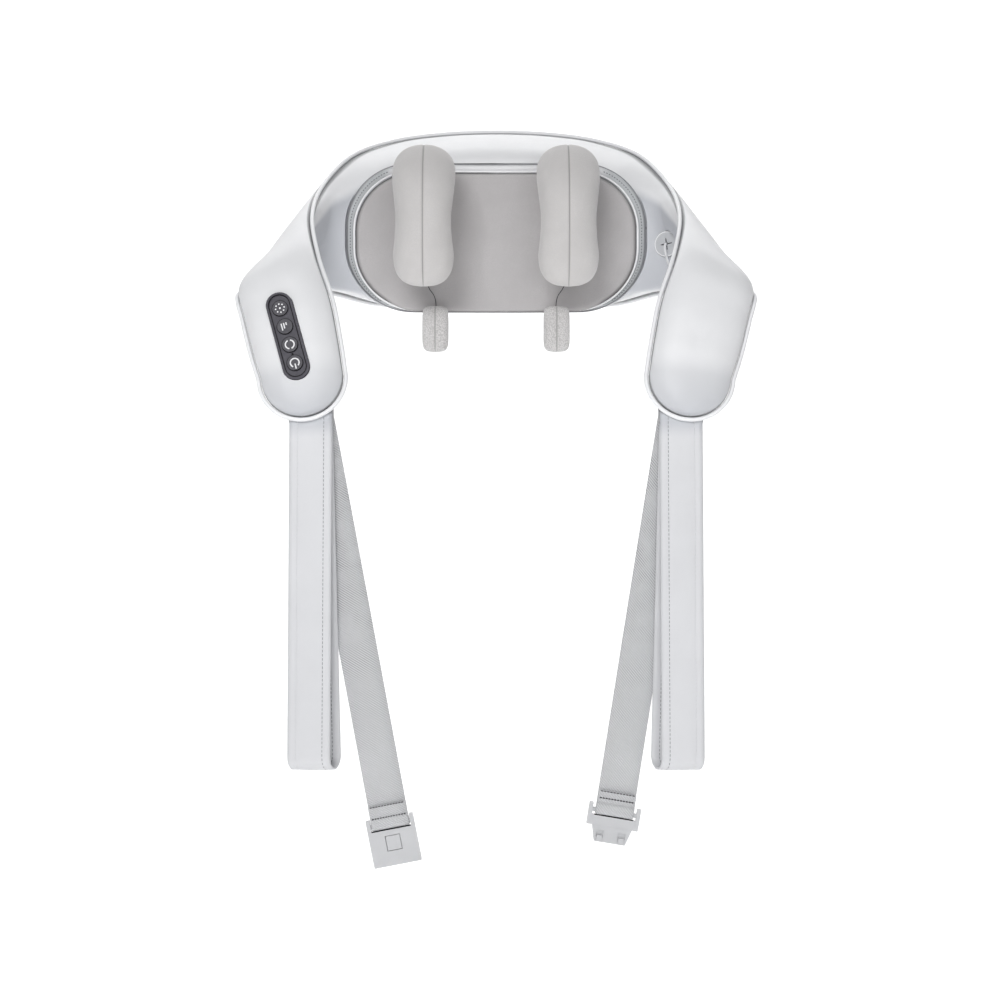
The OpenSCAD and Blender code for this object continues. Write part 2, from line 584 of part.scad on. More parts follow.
// ---- Cable grommet and battery lead -------------------------------------------------------------------
grommet_spot = [134.6, -21.4, -6.5];
grommet_turn = 28;      // the grommet faces the neck, turned in from straight forwards
grommet_r = 10;
module on_grommet() translate(grommet_spot) rotate([0, 0, -grommet_turn]) rotate([90, 0, 0]) children();
module grommet_seat() on_grommet() translate([0, 0, -6]) cylinder(h = 40, r = grommet_r + 0.2);
module cable_grommet() color(leather) on_grommet() difference() {
    translate([0, 0, -5.8]) cylinder(h = 6.8, r = grommet_r);
    for (a = [8, 98]) rotate(a) translate([-4.6, -0.45, -7]) cube([9.2, 0.9, 10]);
    translate([0, 0, -7]) cylinder(h = 10, r = 1.25, $fn = 24);
}
lead_r = 1;
lead_path = [
    [134.2, -22.1, -6.5], [133.2, -24, -6.8], [132.8, -25.2, -8.4], [132.8, -26.2, -11.4],
    [133.2, -27.6, -15], [133.8, -29.8, -19], [134.8, -33.6, -23.4], [136.4, -39, -27.4],
    [138.8, -46, -30.6], [142, -54, -33.4], [146, -62, -35.6], [150, -69, -37], [153.2, -74.4, -37.2],
    [155.6, -78, -35.6], [156.8, -79.6, -32.6]
];
module lead_hole() translate(lead_path[len(lead_path) - 1]) sphere(r = 3.2);
module tube(path, r, sides) {
    n = len(path);
    skin([for (i = [0 : n - 1])
        let(d = unit(path[min(n - 1, i + 1)] - path[max(0, i - 1)]),
            a = unit(cross(d, [1, 0.1, 0])), b = cross(d, a))
            [for (j = [0 : sides - 1]) path[i] + r * (a * cos(360 * j / sides) - b * sin(360 * j / sides))]]);
}
module battery_lead() color(leather) tube(lead_path, lead_r, 8);

// ---- Straps --------------------------------------------------------------------------------------------
// Each wing's round end holds a sewn stack of strap ends, tilted with the seam it stands in.
anchor = [134, -131, -152];
anchor_lean = 15;
module at_anchor() translate(anchor) rotate([-anchor_lean, 0, 0]) children();
module anchor_room() at_anchor() translate([-16.4, -3, -12]) cube([32.8, 14, 31.4]);
module strap_anchor() at_anchor() difference() {
    translate([-16, -2.6, 0]) cube([32, 5.6, 19]);
    for (x = [-11, -5.5, 0, 5.5, 11]) translate([x, 4, 14]) rotate([90, 0, 0])
        cylinder(h = 1.6, r = 0.5, $fn = 16);
}
module right_strap_anchor() color(strap_grey) strap_anchor();
module left_strap_anchor() color(strap_grey) mirror([1, 0, 0]) strap_anchor();
loop_top = anchor[2] - 4.8;
loop_bottom = -403.5;
loop_big = 9.5;
loop_small = 2.9;
loop_t = 2.4;
// Two circles and their common tangents: small on top, big below.
module drop(r1, z1, r2, z2) {
    a = asin((r2 - r1) / (z1 - z2));
    polygon(concat(
        [for (i = [0 : 8]) let(t = mix(a, 180 - a, i / 8)) [r1 * cos(t), z1 + r1 * sin(t)]],
        [for (i = [0 : 16]) let(t = mix(180 - a, 360 + a, i / 16)) [r2 * cos(t), z2 + r2 * sin(t)]]));
}
module hand_loop() translate([anchor[0] - loop_w / 2, anchor[1] - 0.8, 0]) rotate([90, 0, 90])
    linear_extrude(height = loop_w) difference() {
        drop(loop_small, loop_top, loop_big, loop_bottom + loop_big);
        drop(loop_small - loop_t, loop_top, loop_big - loop_t, loop_bottom + loop_big);
    }
module right_hand_loop() color(leather) hand_loop();
module left_hand_loop() color(leather) mirror([1, 0, 0]) hand_loop();

left_l = 297;
right_l = 287;
webbing_lean = 1.8;
bar_r = 1.6;
// A frame at the webbing's sewn top, as on the right side: Z runs up the webbing, X across it.
module on_webbing(splay) translate([anchor[0], anchor[1] + 3.8, anchor[2] - 1.6])
    rotate([0, splay, 0]) rotate([webbing_lean, 0, 0]) children();
// The webbing hangs from its sewn end and goes round the buckle's bar.
module webbing_strip(splay, length) on_webbing(splay) translate([-webbing_w / 2, 0, -length])
    difference() {
        union() {
            cube([webbing_w, webbing_t, length - 2.8]);
            translate([0, -0.4, 0]) rotate([0, 90, 0]) cylinder(h = webbing_w, r = bar_r + webbing_t + 0.1);
            translate([0, -bar_r - webbing_t - 0.3, 0]) cube([webbing_w, webbing_t, 15]);
            translate([0, -2, 9]) cube([webbing_w, 2.4, 6]);
        }
        translate([-1, -0.4, 0]) rotate([0, 90, 0]) cylinder(h = webbing_w + 2, r = bar_r + 0.15);
    }
module right_webbing() color(strap_grey) webbing_strip(right_splay, right_l);
module left_webbing() color(strap_grey) mirror([1, 0, 0]) webbing_strip(left_splay, left_l);
// A frame on a buckle's bar, with Z up the webbing.
module on_bar(splay, length) on_webbing(splay) translate([0, -0.4, -length]) children();
frame_w = 36;
module buckle_bar() rotate([0, 90, 0]) cylinder(h = frame_w - 2, r = bar_r, center = true);
module buckle_cheeks(w, down) for (x = [-1, 1])
    translate([x * (w / 2 - 1.4) - 1.4, -2.4, -down]) cube([2.8, 5, down + 5]);

socket_w = 35;
socket_l = 35;
module buckle_socket() color(strap_grey) mirror([1, 0, 0]) on_bar(left_splay, left_l) {
    buckle_bar();
    buckle_cheeks(socket_w, 6);
    difference() {
        translate([-socket_w / 2, -2.6, -socket_l + 5]) cube([socket_w, 5.8, socket_l - 5 - 3.8]);
        translate([-13, -1, -socket_l + 4]) cube([26, 2.8, 24]);
        translate([-5.6, -3, -19.2]) cube([11.2, 2.5, 11.4]);
    }
}
module buckle_release() color(strap_grey) mirror([1, 0, 0]) on_bar(left_splay, left_l)
    translate([-5.2, -2.4, -18.8]) cube([10.4, 1.2, 10.6]);
plug_w = 38;
module buckle_plug() color(strap_grey) on_bar(right_splay, right_l) {
    buckle_bar();
    buckle_cheeks(plug_w, 8);
    translate([-plug_w / 2, -1.8, -11]) cube([plug_w, 3.8, 7.2]);
    difference() {
        translate([0, 1.3, 0]) rotate([90, 0, 0]) linear_extrude(height = 2.2)
            polygon([[-15, -10.5], [-11.5, -23], [11.5, -23], [15, -10.5]]);
        for (x = [-8, 8]) translate([x - 2.6, -1.2, -19.6]) cube([5.2, 1.3, 5]);
    }
    for (x = [-8, 8]) translate([x - 2, -2.4, -22.4]) cube([4, 1.6, 4.4]);
}

back_outer_cover();
back_inner_cover();
left_wing_front_pad();
left_wing_rear_pad();
right_wing_front_pad();
right_wing_rear_pad();
edge_piping();
fabric_panel();
zip_ring();
zip_slider();
front_housing();
rear_housing();
housing_screws();
gearbox_left_half();
gearbox_right_half();
gearbox_screws();
motor_can();
motor_screws();
worm();
worm_bush();
main_shaft();
worm_wheel();
shaft_bushes();
left_hub();
right_hub();
left_bearing_inner();
right_bearing_inner();
left_bearing_outer();
right_bearing_outer();
left_claw_arm();
right_claw_arm();
left_heat_plate();
right_heat_plate();
left_palm_pad();
right_palm_pad();
left_thumb_pad();
right_thumb_pad();
control_bezel();
control_board();
button_heat();
button_level();
button_direction();
button_power();
button_switches();
indicator_lens();
battery_cell();
battery_tray();
charge_port();
cable_grommet();
battery_lead();
left_strap_anchor();
right_strap_anchor();
left_hand_loop();
right_hand_loop();
left_webbing();
right_webbing();
buckle_socket();
buckle_release();
buckle_plug();
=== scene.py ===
"""The looks of the shiatsu neck massager: leather collar, fabric panel and claws, controls and straps.

Lengths in the tables and formulas are millimetres in the model's frame. mesh_piece() and the other
makers turn them into metres.
"""
import math

import bmesh
import bpy
import numpy as np
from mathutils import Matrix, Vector, kdtree, noise


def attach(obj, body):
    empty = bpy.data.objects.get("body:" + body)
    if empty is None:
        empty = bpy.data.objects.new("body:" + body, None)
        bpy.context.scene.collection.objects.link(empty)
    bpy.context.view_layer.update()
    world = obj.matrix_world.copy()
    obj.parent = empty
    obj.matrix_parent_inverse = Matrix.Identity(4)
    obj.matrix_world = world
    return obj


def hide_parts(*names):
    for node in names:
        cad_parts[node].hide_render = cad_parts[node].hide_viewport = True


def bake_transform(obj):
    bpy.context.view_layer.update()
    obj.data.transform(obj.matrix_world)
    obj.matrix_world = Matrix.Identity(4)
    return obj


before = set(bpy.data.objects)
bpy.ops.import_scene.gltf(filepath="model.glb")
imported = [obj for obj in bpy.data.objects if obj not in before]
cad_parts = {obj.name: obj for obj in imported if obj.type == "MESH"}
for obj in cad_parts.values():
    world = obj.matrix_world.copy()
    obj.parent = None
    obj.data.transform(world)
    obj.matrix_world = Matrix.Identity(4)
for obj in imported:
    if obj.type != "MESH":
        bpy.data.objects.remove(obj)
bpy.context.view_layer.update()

MM = 0.001
COLLAR = "collar"
SIDES = ((-1, "left"), (1, "right"))


# ---- Small maths ---------------------------------------------------------------------------------
def mix(a, b, t):
    return a * (1 - t) + b * t


def unit(v):
    return v / np.linalg.norm(v)


def smoothstep(t):
    t = np.clip(t, 0, 1)
    return t * t * (3 - 2 * t)


def catmull(points, t):
    """A point on the smooth curve through the rows of points, with t counted in rows."""
    rows = np.asarray(points, float)
    i = int(min(max(math.floor(t), 0), len(rows) - 2))
    f = t - i
    before = rows[i - 1] if i > 0 else 2 * rows[0] - rows[1]
    after = rows[i + 2] if i + 2 < len(rows) else 2 * rows[-1] - rows[-2]
    a, b, c, d = before, rows[i], rows[i + 1], after
    return 0.5 * (2 * b + (c - a) * f + (2 * a - 5 * b + 4 * c - d) * f * f
                  + (3 * b - a - 3 * c + d) * f ** 3)


def lengths_along(points):
    """The distance along the line to each of its points."""
    return np.concatenate([[0], np.cumsum(np.linalg.norm(np.diff(points, axis=0), axis=1))])


def resample(points, step):
    """The line's points, evenly spaced about step apart along its length."""
    p = np.asarray(points, float)
    lengths = lengths_along(p)
    count = max(2, int(round(lengths[-1] / step)) + 1)
    at = np.linspace(0, lengths[-1], count)
    return np.stack([np.interp(at, lengths, p[:, k]) for k in range(p.shape[1])], axis=1)


def resampled_loop(points, step):
    """The same for a closed line, whose first point isn't repeated."""
    return resample(np.vstack([points, points[:1]]), step)[:-1]


# ---- Mesh makers ---------------------------------------------------------------------------------
def mesh_piece(name, verts, faces, material, smooth=True):
    """An object from points in millimetres."""
    mesh = bpy.data.meshes.new(name)
    mesh.from_pydata([tuple(float(c) * MM for c in v) for v in verts], [], faces)
    mesh.validate()
    obj = bpy.data.objects.new(name, mesh)
    bpy.context.scene.collection.objects.link(obj)
    mesh.materials.append(material)
    mesh.polygons.foreach_set("use_smooth", [smooth] * len(mesh.polygons))
    turn_faces_out(mesh)
    return obj


def turn_faces_out(mesh):
    bm = bmesh.new()
    bm.from_mesh(mesh)
    bmesh.ops.recalc_face_normals(bm, faces=bm.faces)
    bm.to_mesh(mesh)
    bm.free()


def grid_faces(rows, cols, wrap_rows=False, wrap_cols=False, start=0):
    faces = []
    for i in range(rows if wrap_rows else rows - 1):
        for j in range(cols if wrap_cols else cols - 1):
            k, m = (i + 1) % rows, (j + 1) % cols
            faces.append((start + i * cols + j, start + i * cols + m,
                          start + k * cols + m, start + k * cols + j))
    return faces


def end_faces(rows, cols, start=0):
    """The two faces that close the ends of a tube."""
    return [tuple(start + j for j in range(cols - 1, -1, -1)),
            tuple(start + (rows - 1) * cols + j for j in range(cols))]


def prism_faces(n, start=0):
    """The faces between two outlines of n points each, one listed after the other."""
    ends = [tuple(range(start, start + n)), tuple(reversed(range(start + n, start + 2 * n)))]
    return ends + [(start + i, start + (i + 1) % n, start + n + (i + 1) % n, start + n + i)
                   for i in range(n)]


def lofted(name, rings, material):
    """A closed skin over rings of points."""
    rows, cols = len(rings), len(rings[0])
    faces = grid_faces(rows, cols, wrap_cols=True) + end_faces(rows, cols)
    return mesh_piece(name, np.concatenate(rings), faces, material)


def headings(path, closed):
    """The direction of the path at each of its points."""
    last = len(path) - 1
    after = [path[0 if closed else last] if i == last else path[i + 1] for i in range(last + 1)]
    before = [path[i - 1] if closed or i > 0 else path[0] for i in range(last + 1)]
    return [unit(b - a) for a, b in zip(before, after)]


def swept(name, path, section, material, closed=False, lean=(0, -1, 0)):
    """section is a list of (across, up) offsets; up keeps close to the lean direction."""
    path, lean = np.asarray(path, float), np.asarray(lean, float)
    verts = []
    for point, along in zip(path, headings(path, closed)):
        up = unit(lean - along * np.dot(lean, along))
        side = np.cross(along, up)
        verts += [point + side * a + up * b for a, b in section]
    rows, cols = len(path), len(section)
    faces = grid_faces(rows, cols, wrap_rows=closed, wrap_cols=True)
    if not closed:
        faces += end_faces(rows, cols)
    return mesh_piece(name, verts, faces, material)


def circle(radius, sides, x=0.0, y=0.0):
    angles = [2 * math.pi * k / sides for k in range(sides)]
    return [(x + radius * math.cos(a), y + radius * math.sin(a)) for a in angles]


def cut_away(obj, cutter):
    """Takes cutter's volume out of obj and removes cutter."""
    modifier = obj.modifiers.new("cut", "BOOLEAN")
    modifier.object = cutter
    modifier.operation = "DIFFERENCE"
    modifier.solver = "EXACT"
    bpy.context.view_layer.update()
    evaluated = obj.evaluated_get(bpy.context.evaluated_depsgraph_get())
    mesh = bpy.data.meshes.new_from_object(evaluated)
    obj.modifiers.clear()
    obj.data = mesh
    bpy.data.objects.remove(cutter)


def sharp_above(obj, degrees):
    obj.data.set_sharp_from_angle(angle=math.radians(degrees))


def mark(obj, name, values):
    """Stores one number for each point of the mesh, for the material to read."""
    attribute = obj.data.attributes.get(name) or obj.data.attributes.new(name, "FLOAT", "POINT")
    attribute.data.foreach_set("value", np.asarray(values, np.float32))


def marks_of(obj, name):
    """The mesh's points and the numbers marked on them, to carry the marks over a cut."""
    tree = kdtree.KDTree(len(obj.data.vertices))
    for v in obj.data.vertices:
        tree.insert(v.co, v.index)
    tree.balance()
    return name, tree, [d.value for d in obj.data.attributes[name].data]


def mark_again(obj, marks):
    """After a cut, gives each point the mark of the nearest point before it."""
    name, tree, values = marks
    mark(obj, name, [values[tree.find(v.co)[1]] for v in obj.data.vertices])


# ---- Materials -----------------------------------------------------------------------------------
class Shader:
    """Builds a node material a few nodes at a time. A node's input takes a number, a color or another
    node's output."""

    def __init__(self, name):
        self.material = bpy.data.materials.new(name)
        self.material.use_nodes = True
        self.tree = self.material.node_tree
        self.bsdf = self.tree.nodes["Principled BSDF"]
        self.place = self.node("TexCoord").outputs["Object"]

    def join(self, socket, value):
        if isinstance(value, bpy.types.NodeSocket):
            self.tree.links.new(value, socket)
        else:
            socket.default_value = value

    def feed(self, node, **inputs):
        for name, value in inputs.items():
            self.join(node.inputs[name.replace("_", " ")], value)

    def node(self, kind, **inputs):
        node = self.tree.nodes.new("ShaderNode" + kind)
        self.feed(node, **inputs)
        return node

    def set(self, **inputs):
        self.feed(self.bsdf, **inputs)

    def scaled(self, vector, scale, turn=(0, 0, 0)):
        return self.node("Mapping", Vector=vector, Scale=scale, Rotation=turn).outputs["Vector"]

    def noise(self, scale, detail=3.0, vector=None):
        return self.node("TexNoise", Vector=vector or self.place, Scale=scale, Detail=detail,
                         Roughness=0.55).outputs["Fac"]

    def cells(self, scale, feature="F1"):
        node = self.node("TexVoronoi", Vector=self.place, Scale=scale)
        node.feature = feature
        return node.outputs["Distance"]

    def wave(self, scale, direction, vector=None, distortion=0.0):
        node = self.node("TexWave", Vector=vector or self.place, Scale=scale, Distortion=distortion)
        node.bands_direction = direction
        return node.outputs["Fac"]

    def math(self, operation, a, b):
        node = self.node("Math")
        node.operation = operation
        self.join(node.inputs[0], a)
        self.join(node.inputs[1], b)
        return node.outputs[0]

    def spread(self, value, low, high, to_low=0.0, to_high=1.0):
        return self.node("MapRange", Value=value, From_Min=low, From_Max=high, To_Min=to_low,
                         To_Max=to_high).outputs["Result"]

    def attribute(self, name):
        node = self.node("Attribute")
        node.attribute_name = name
        return node.outputs["Fac"]

    def blend(self, factor, a, b):
        node = self.node("Mix")
        node.data_type = "RGBA"
        a, b = [(*c, 1) if isinstance(c, tuple) else c for c in (a, b)]
        self.feed(node, Factor=factor, A=a, B=b)
        return node.outputs["Result"]

    def color(self, output):
        self.set(Base_Color=output)

    def roughness(self, output):
        self.set(Roughness=output)

    def bump(self, *layers):
        """Each layer is (height, strength, distance in millimetres), finest last."""
        normal = None
        for height, strength, distance in layers:
            node = self.node("Bump", Height=height, Strength=strength, Distance=distance * MM)
            if normal is not None:
                self.feed(node, Normal=normal)
            normal = node.outputs["Normal"]
        self.set(Normal=normal)


def shade(color, factor):
    return tuple(c * factor for c in color)


# Painted shade colours for the leather: the greyer shade, and the darker shade down in the seams.
LEATHER_PAINTED_SHADE = (0.46, 0.475, 0.51)
LEATHER_SEAM_SHADE = (0.28, 0.285, 0.295)
PLAIN_WHITE = (0.80, 0.80, 0.815)
WAVE_SCALE = 314.0      # a wave texture of this scale repeats every millimetre


def leather(name, color):
    """Soft white artificial leather: a fine cell grain over slow dimples, with painted shade down in the
    seams and greyer painted shade where its shade mark says."""
    s = Shader(name)
    s.set(Specular_IOR_Level=0.45, Coat_Weight=0.08, Coat_Roughness=0.35)
    tone = s.blend(s.spread(s.noise(26, 4), 0.35, 0.65), shade(color, 0.965), color)
    # Painted shade: greyer where the mesh's shade mark says, and darker along the seams.
    toned = s.blend(s.attribute("painted_shade"), tone, LEATHER_PAINTED_SHADE)
    s.color(s.blend(s.attribute("seam"), toned, LEATHER_SEAM_SHADE))
    s.roughness(s.spread(s.noise(340, 2), 0.3, 0.7, 0.40, 0.54))
    pores = s.math("MULTIPLY", s.noise(2300, 2), 0.4)
    grain = s.math("ADD", s.cells(1150, "DISTANCE_TO_EDGE"), pores)
    s.bump((s.noise(70, 3), 0.12, 1.2), (s.spread(grain, 0.0, 0.45), 0.22, 0.12))
    return s.material


def knit(name, color, scale, fuzz, depth, speckle, seam_shade_tone=0.5):
    """A knitted fabric: loops in two directions, broken up by noise. The plain attribute turns it white;
    the seam attribute paints shade into its seams and rolled edges.
    """
    s = Shader(name)
    s.set(Sheen_Weight=fuzz, Sheen_Roughness=0.5, Specular_IOR_Level=0.15, Roughness=0.92)
    warp = s.wave(scale, "X", distortion=1.2)
    weft = s.wave(scale * 1.3, "Z", distortion=1.2)
    loops = s.math("MULTIPLY", warp, weft)
    slow, fine = s.math("MULTIPLY", s.noise(45, 4), 0.7), s.math("MULTIPLY", s.noise(900, 2), 0.3)
    tone_drift = s.math("ADD", slow, fine)
    tone = s.blend(s.spread(tone_drift, 0.38, 0.62), shade(color, 0.93), shade(color, 1.05))
    flecks = s.blend(s.spread(s.cells(scale * 2.2), 0.25, 0.75), tone, shade(color, 1 - speckle))
    bleached = s.blend(s.attribute("plain"), flecks, PLAIN_WHITE)
    # Painted shade where the seam attribute says.
    s.color(s.blend(s.attribute("seam"), bleached, shade(color, seam_shade_tone)))
    s.bump((s.noise(120, 3), 0.25, 0.8), (loops, 0.5, depth))
    return s.material


def twill(name, color, pitch):
    """Woven webbing with diagonal ribs. Their light and dark are painted strongly at its upper end, which
    comes out darker as painted shade under the loop, and fade to an even, lighter tone towards its lower
    end. It follows the strap's own UV map, in metres."""
    s = Shader(name)
    s.set(Sheen_Weight=0.2, Specular_IOR_Level=0.3, Roughness=0.7)
    strap = s.node("TexCoord").outputs["UV"]
    ribs = s.wave(WAVE_SCALE / pitch, "X", s.scaled(strap, (1, 1, 1), (0, 0, math.radians(48))))
    threads = s.wave(WAVE_SCALE / pitch * 2.2, "Y", strap)
    # Painted shade: the ribs' painted contrast, darker overall, is strongest at the top and fades along the
    # strap.
    tone_drift = s.spread(s.node("SeparateXYZ", Vector=strap).outputs["Y"], 0.04, 0.26, 1.0, 0.35)
    relief = s.math("ADD", s.math("MULTIPLY", s.math("SUBTRACT", ribs, 0.75), tone_drift), 0.75)
    tone = s.blend(s.spread(relief, 0.1, 0.8), shade(color, 0.38), shade(color, 1.12))
    s.color(s.blend(s.spread(s.noise(60, 3), 0.3, 0.7), tone, shade(color, 0.95)))
    s.bump((ribs, 0.75, 0.35), (threads, 0.35, 0.15))
    return s.material


def moulded(name, color, rough, grain, gloss=0.5):
    """Moulded plastic: an even skin with a fine spark texture and slight flow marks."""
    s = Shader(name)
    s.set(Specular_IOR_Level=gloss)
    s.color(s.blend(s.spread(s.noise(38, 3), 0.35, 0.65), shade(color, 0.95), color))
    s.roughness(s.spread(s.noise(500, 2), 0.3, 0.7, rough - 0.05, rough + 0.06))
    s.bump((s.noise(1500, 2), grain, 0.1))
    return s.material


def metal(name, color, rough, streak=(1, 1, 40)):
    """Machined metal with fine tool marks."""
    s = Shader(name)
    s.set(Metallic=1.0)
    marks = s.noise(300, 4, vector=s.scaled(s.place, streak))
    s.color(s.blend(s.spread(marks, 0.3, 0.7), shade(color, 0.86), color))
    s.roughness(s.spread(marks, 0.3, 0.7, rough - 0.06, rough + 0.1))
    s.bump((marks, 0.1, 0.05))
    return s.material


WHITE = leather("leather_white", (0.80, 0.805, 0.82))
# Whiter leather for the piping, also the painted highlight on the grommet's rim.
PIPING_AND_HIGHLIGHT_WHITE = leather("leather_piping", (0.86, 0.865, 0.88))
LOOP_LEATHER = leather("leather_loop", (0.66, 0.665, 0.685))
PANEL_KNIT = knit("panel_knit", (0.50, 0.485, 0.488), 900, 0.25, 0.18, 0.06, 0.3)
PALM_KNIT = knit("palm_knit", (0.60, 0.585, 0.58), 1000, 0.3, 0.14, 0.05)
TERRY = knit("thumb_terry", (0.70, 0.685, 0.68), 520, 0.5, 0.5, 0.30)
ZIP_TAPE = knit("zip_tape", (0.50, 0.515, 0.53), 1300, 0.2, 0.1, 0.04)
TWILL = twill("strap_twill", (0.58, 0.585, 0.60), 1.5)
THREAD = moulded("sewing_thread", (0.26, 0.265, 0.28), 0.6, 0.3, 0.3)
# Near-black for painted seam shadows, and for dark stitch rows on the webbing that are partly painted
# shadow.
DARK_LINE = moulded("seam_shadow", (0.09, 0.09, 0.095), 0.8, 0.1, 0.2)
TEETH = moulded("zip_teeth", (0.16, 0.17, 0.18), 0.4, 0.05)
CONTROL = moulded("control_plastic", (0.066, 0.063, 0.078), 0.5, 0.05, 0.3)
BUTTON = moulded("button_plastic", (0.052, 0.050, 0.062), 0.45, 0.05, 0.35)
ICON = moulded("icon_print", (0.80, 0.80, 0.82), 0.45, 0.02)
# Black for the indicator lens, and for painted shade in grooves, gaps and hollows.
BLACK_LENS_AND_SHADE = moulded("lens_and_shade_black", (0.008, 0.008, 0.009), 0.5, 0.0, 0.1)
BUCKLE = moulded("buckle_plastic", (0.56, 0.565, 0.58), 0.40, 0.10)
SILICONE = moulded("grommet_silicone", (0.52, 0.53, 0.55), 0.5, 0.06)
LEAD = moulded("lead_jacket", (0.82, 0.825, 0.84), 0.45, 0.05)
SHELL = moulded("housing_plastic", (0.70, 0.70, 0.715), 0.45, 0.12)
HUB = moulded("hub_plastic", (0.62, 0.62, 0.58), 0.4, 0.06)
BOARD = moulded("circuit_board", (0.02, 0.13, 0.06), 0.35, 0.05)
STEEL = metal("ground_steel", (0.56, 0.57, 0.59), 0.28)
ZINC = metal("plated_zinc", (0.72, 0.72, 0.74), 0.2)
BRASS = metal("machined_brass", (0.72, 0.52, 0.22), 0.3)
FOIL = metal("aluminium_foil", (0.78, 0.78, 0.8), 0.35, (1, 1, 8))

NODE_MATERIALS = {
    SHELL: ("front_housing", "rear_housing", "gearbox_left_half", "gearbox_right_half",
            "left_claw_arm", "right_claw_arm", "battery_tray"),
    HUB: ("left_hub", "right_hub"),
    STEEL: ("housing_screws", "gearbox_screws", "motor_can", "motor_screws", "main_shaft",
            "left_bearing_inner", "right_bearing_inner", "left_bearing_outer",
            "right_bearing_outer", "button_switches", "charge_port"),
    BRASS: ("worm", "worm_bush", "worm_wheel", "shaft_bushes"),
    FOIL: ("left_heat_plate", "right_heat_plate", "battery_cell"),
    ZINC: ("zip_slider",),
    CONTROL: ("control_bezel",),
    BUTTON: ("button_heat", "button_level", "button_direction", "button_power"),
    BOARD: ("control_board",),
    BLACK_LENS_AND_SHADE: ("indicator_lens",),
    TWILL: ("left_strap_anchor", "right_strap_anchor"),
    BUCKLE: ("buckle_socket", "buckle_release", "buckle_plug"),
    SILICONE: ("cable_grommet",),
}
for surface, names in NODE_MATERIALS.items():
    for node_name in names:
        node_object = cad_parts[node_name]
        node_object.data.materials.clear()
        node_object.data.materials.append(surface)

# Moulded parts whose CAD edges are rounded a little: node and edge radius.
SOFT_EDGES = {
    "control_bezel": 0.7, "buckle_socket": 0.5, "buckle_release": 0.25, "buckle_plug": 0.45,
    "zip_slider": 0.25, "button_heat": 0.5, "button_level": 0.5, "button_direction": 0.5,
    "button_power": 0.5,
}
for node_name, edge in SOFT_EDGES.items():
    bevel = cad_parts[node_name].modifiers.new("soft_edges", "BEVEL")
    bevel.width = edge * MM
    bevel.segments = 3
    bevel.limit_method = "ANGLE"
    bevel.angle_limit = math.radians(50)


# ---- Collar shape --------------------------------------------------------------------------------
# Edge stations of the right half, from the middle of the back to the top of the wing's round end.
TOP_EDGE = np.array([
    [0, 58, 96], [45, 57, 94], [85, 48, 86.5], [117, 24, 70], [137.5, -14, 39.5],
    [142, -60, 8], [134, -99, -27], [122, -114, -61], [115.5, -122, -91], [111, -128.5, -117.5]], float)
BOTTOM_EDGE = np.array([
    [0, 54, -46], [50, 53, -46], [98, 42, -45], [136, 14, -39], [166, -26, -42],
    [185, -70, -49], [190, -102, -56], [184.5, -113, -76], [177.5, -121, -101],
    [170.5, -128, -121]], float)
# How far the outer and the inner face stand out of the seam's plane at each station.
FRONT_BULGE = (10, 10, 10, 8, 6, 7, 11, 12, 12, 11)
REAR_BULGE = (54, 54, 52, 44, 14, 9, 8, 8, 8, 8)
LAST = len(TOP_EDGE) - 1
EDGE_HALF = 2.0
FINE_WRINKLE, SLOW_WRINKLE = 17, 42     # the wrinkles' sizes
BOX_RISE = 0.22         # the share of the inner face's height over which it rises at its top
BOX_UNDER = 0.93        # the share at which it turns back under the box
UNDER_REACH = 1.085


def mirrored(p):
    return np.array([-p[0], p[1], p[2]])


def along_edge(edge, u):
    """A point on an edge line: the left half mirrors the right half."""
    if u < 0:
        return mirrored(along_edge(edge, -u))
    rows = np.vstack([mirrored(edge[1]), edge])
    return catmull(rows, u + 1)


END_MIDDLE = (TOP_EDGE[LAST] + BOTTOM_EDGE[LAST]) / 2
END_ACROSS = (BOTTOM_EDGE[LAST] - TOP_EDGE[LAST]) / 2
END_RUN = END_MIDDLE - (TOP_EDGE[LAST - 1] + BOTTOM_EDGE[LAST - 1]) / 2
END_DOWN = unit(np.cross(np.cross(END_ACROSS, END_RUN), END_ACROSS)) * np.linalg.norm(END_ACROSS)


def edge_point(edge, u, side):
    """A point on an edge line or, past its last station, on the wing's round end."""
    if u <= LAST:
        return along_edge(edge, u)
    turn = (u - LAST) * math.pi / 2
    return END_MIDDLE + END_ACROSS * side * math.cos(turn) + END_DOWN * math.sin(turn)


def top_at(u):
    return edge_point(TOP_EDGE, u, -1)


def bottom_at(u):
    return edge_point(BOTTOM_EDGE, u, 1)


def heading(u):
    """The direction in which the collar runs at station u."""
    if u > LAST:
        return unit(END_DOWN)
    before, after = u - 0.05, min(LAST, u + 0.05)
    return unit(top_at(after) + bottom_at(after) - top_at(before) - bottom_at(before))


def outward(u):
    return unit(np.cross(heading(u), bottom_at(u) - top_at(u)))


def bulge_at(values, u):
    i = int(min(LAST - 1, math.floor(u)))
    return float(mix(values[i], values[i + 1], smoothstep(min(1.0, u - i))))


def end_taper(u):
    return 1.0 if u <= LAST else math.sqrt(max(0.0, 1 - ((u - LAST) / 1.02) ** 2))


def pillow(s):
    return (1 - np.abs(2 * s - 1) ** 2.6) ** 0.6


def box_share(s):
    """How far out the boxy inner face of the back stands, for shares s from its top edge down."""
    rise = np.sin(math.pi / 2 * np.minimum(s / BOX_RISE, 1)) ** 0.85
    return np.where(s > BOX_UNDER, (1 - s) / (1 - BOX_UNDER), rise)


def box_place(s):
    """How far down the shares lie: the box's lower edge reaches below the seam and comes back to it."""
    back = mix(UNDER_REACH, 1.0, (s - BOX_UNDER) / (1 - BOX_UNDER))
    return np.where(s < BOX_UNDER, s * UNDER_REACH / BOX_UNDER, back)


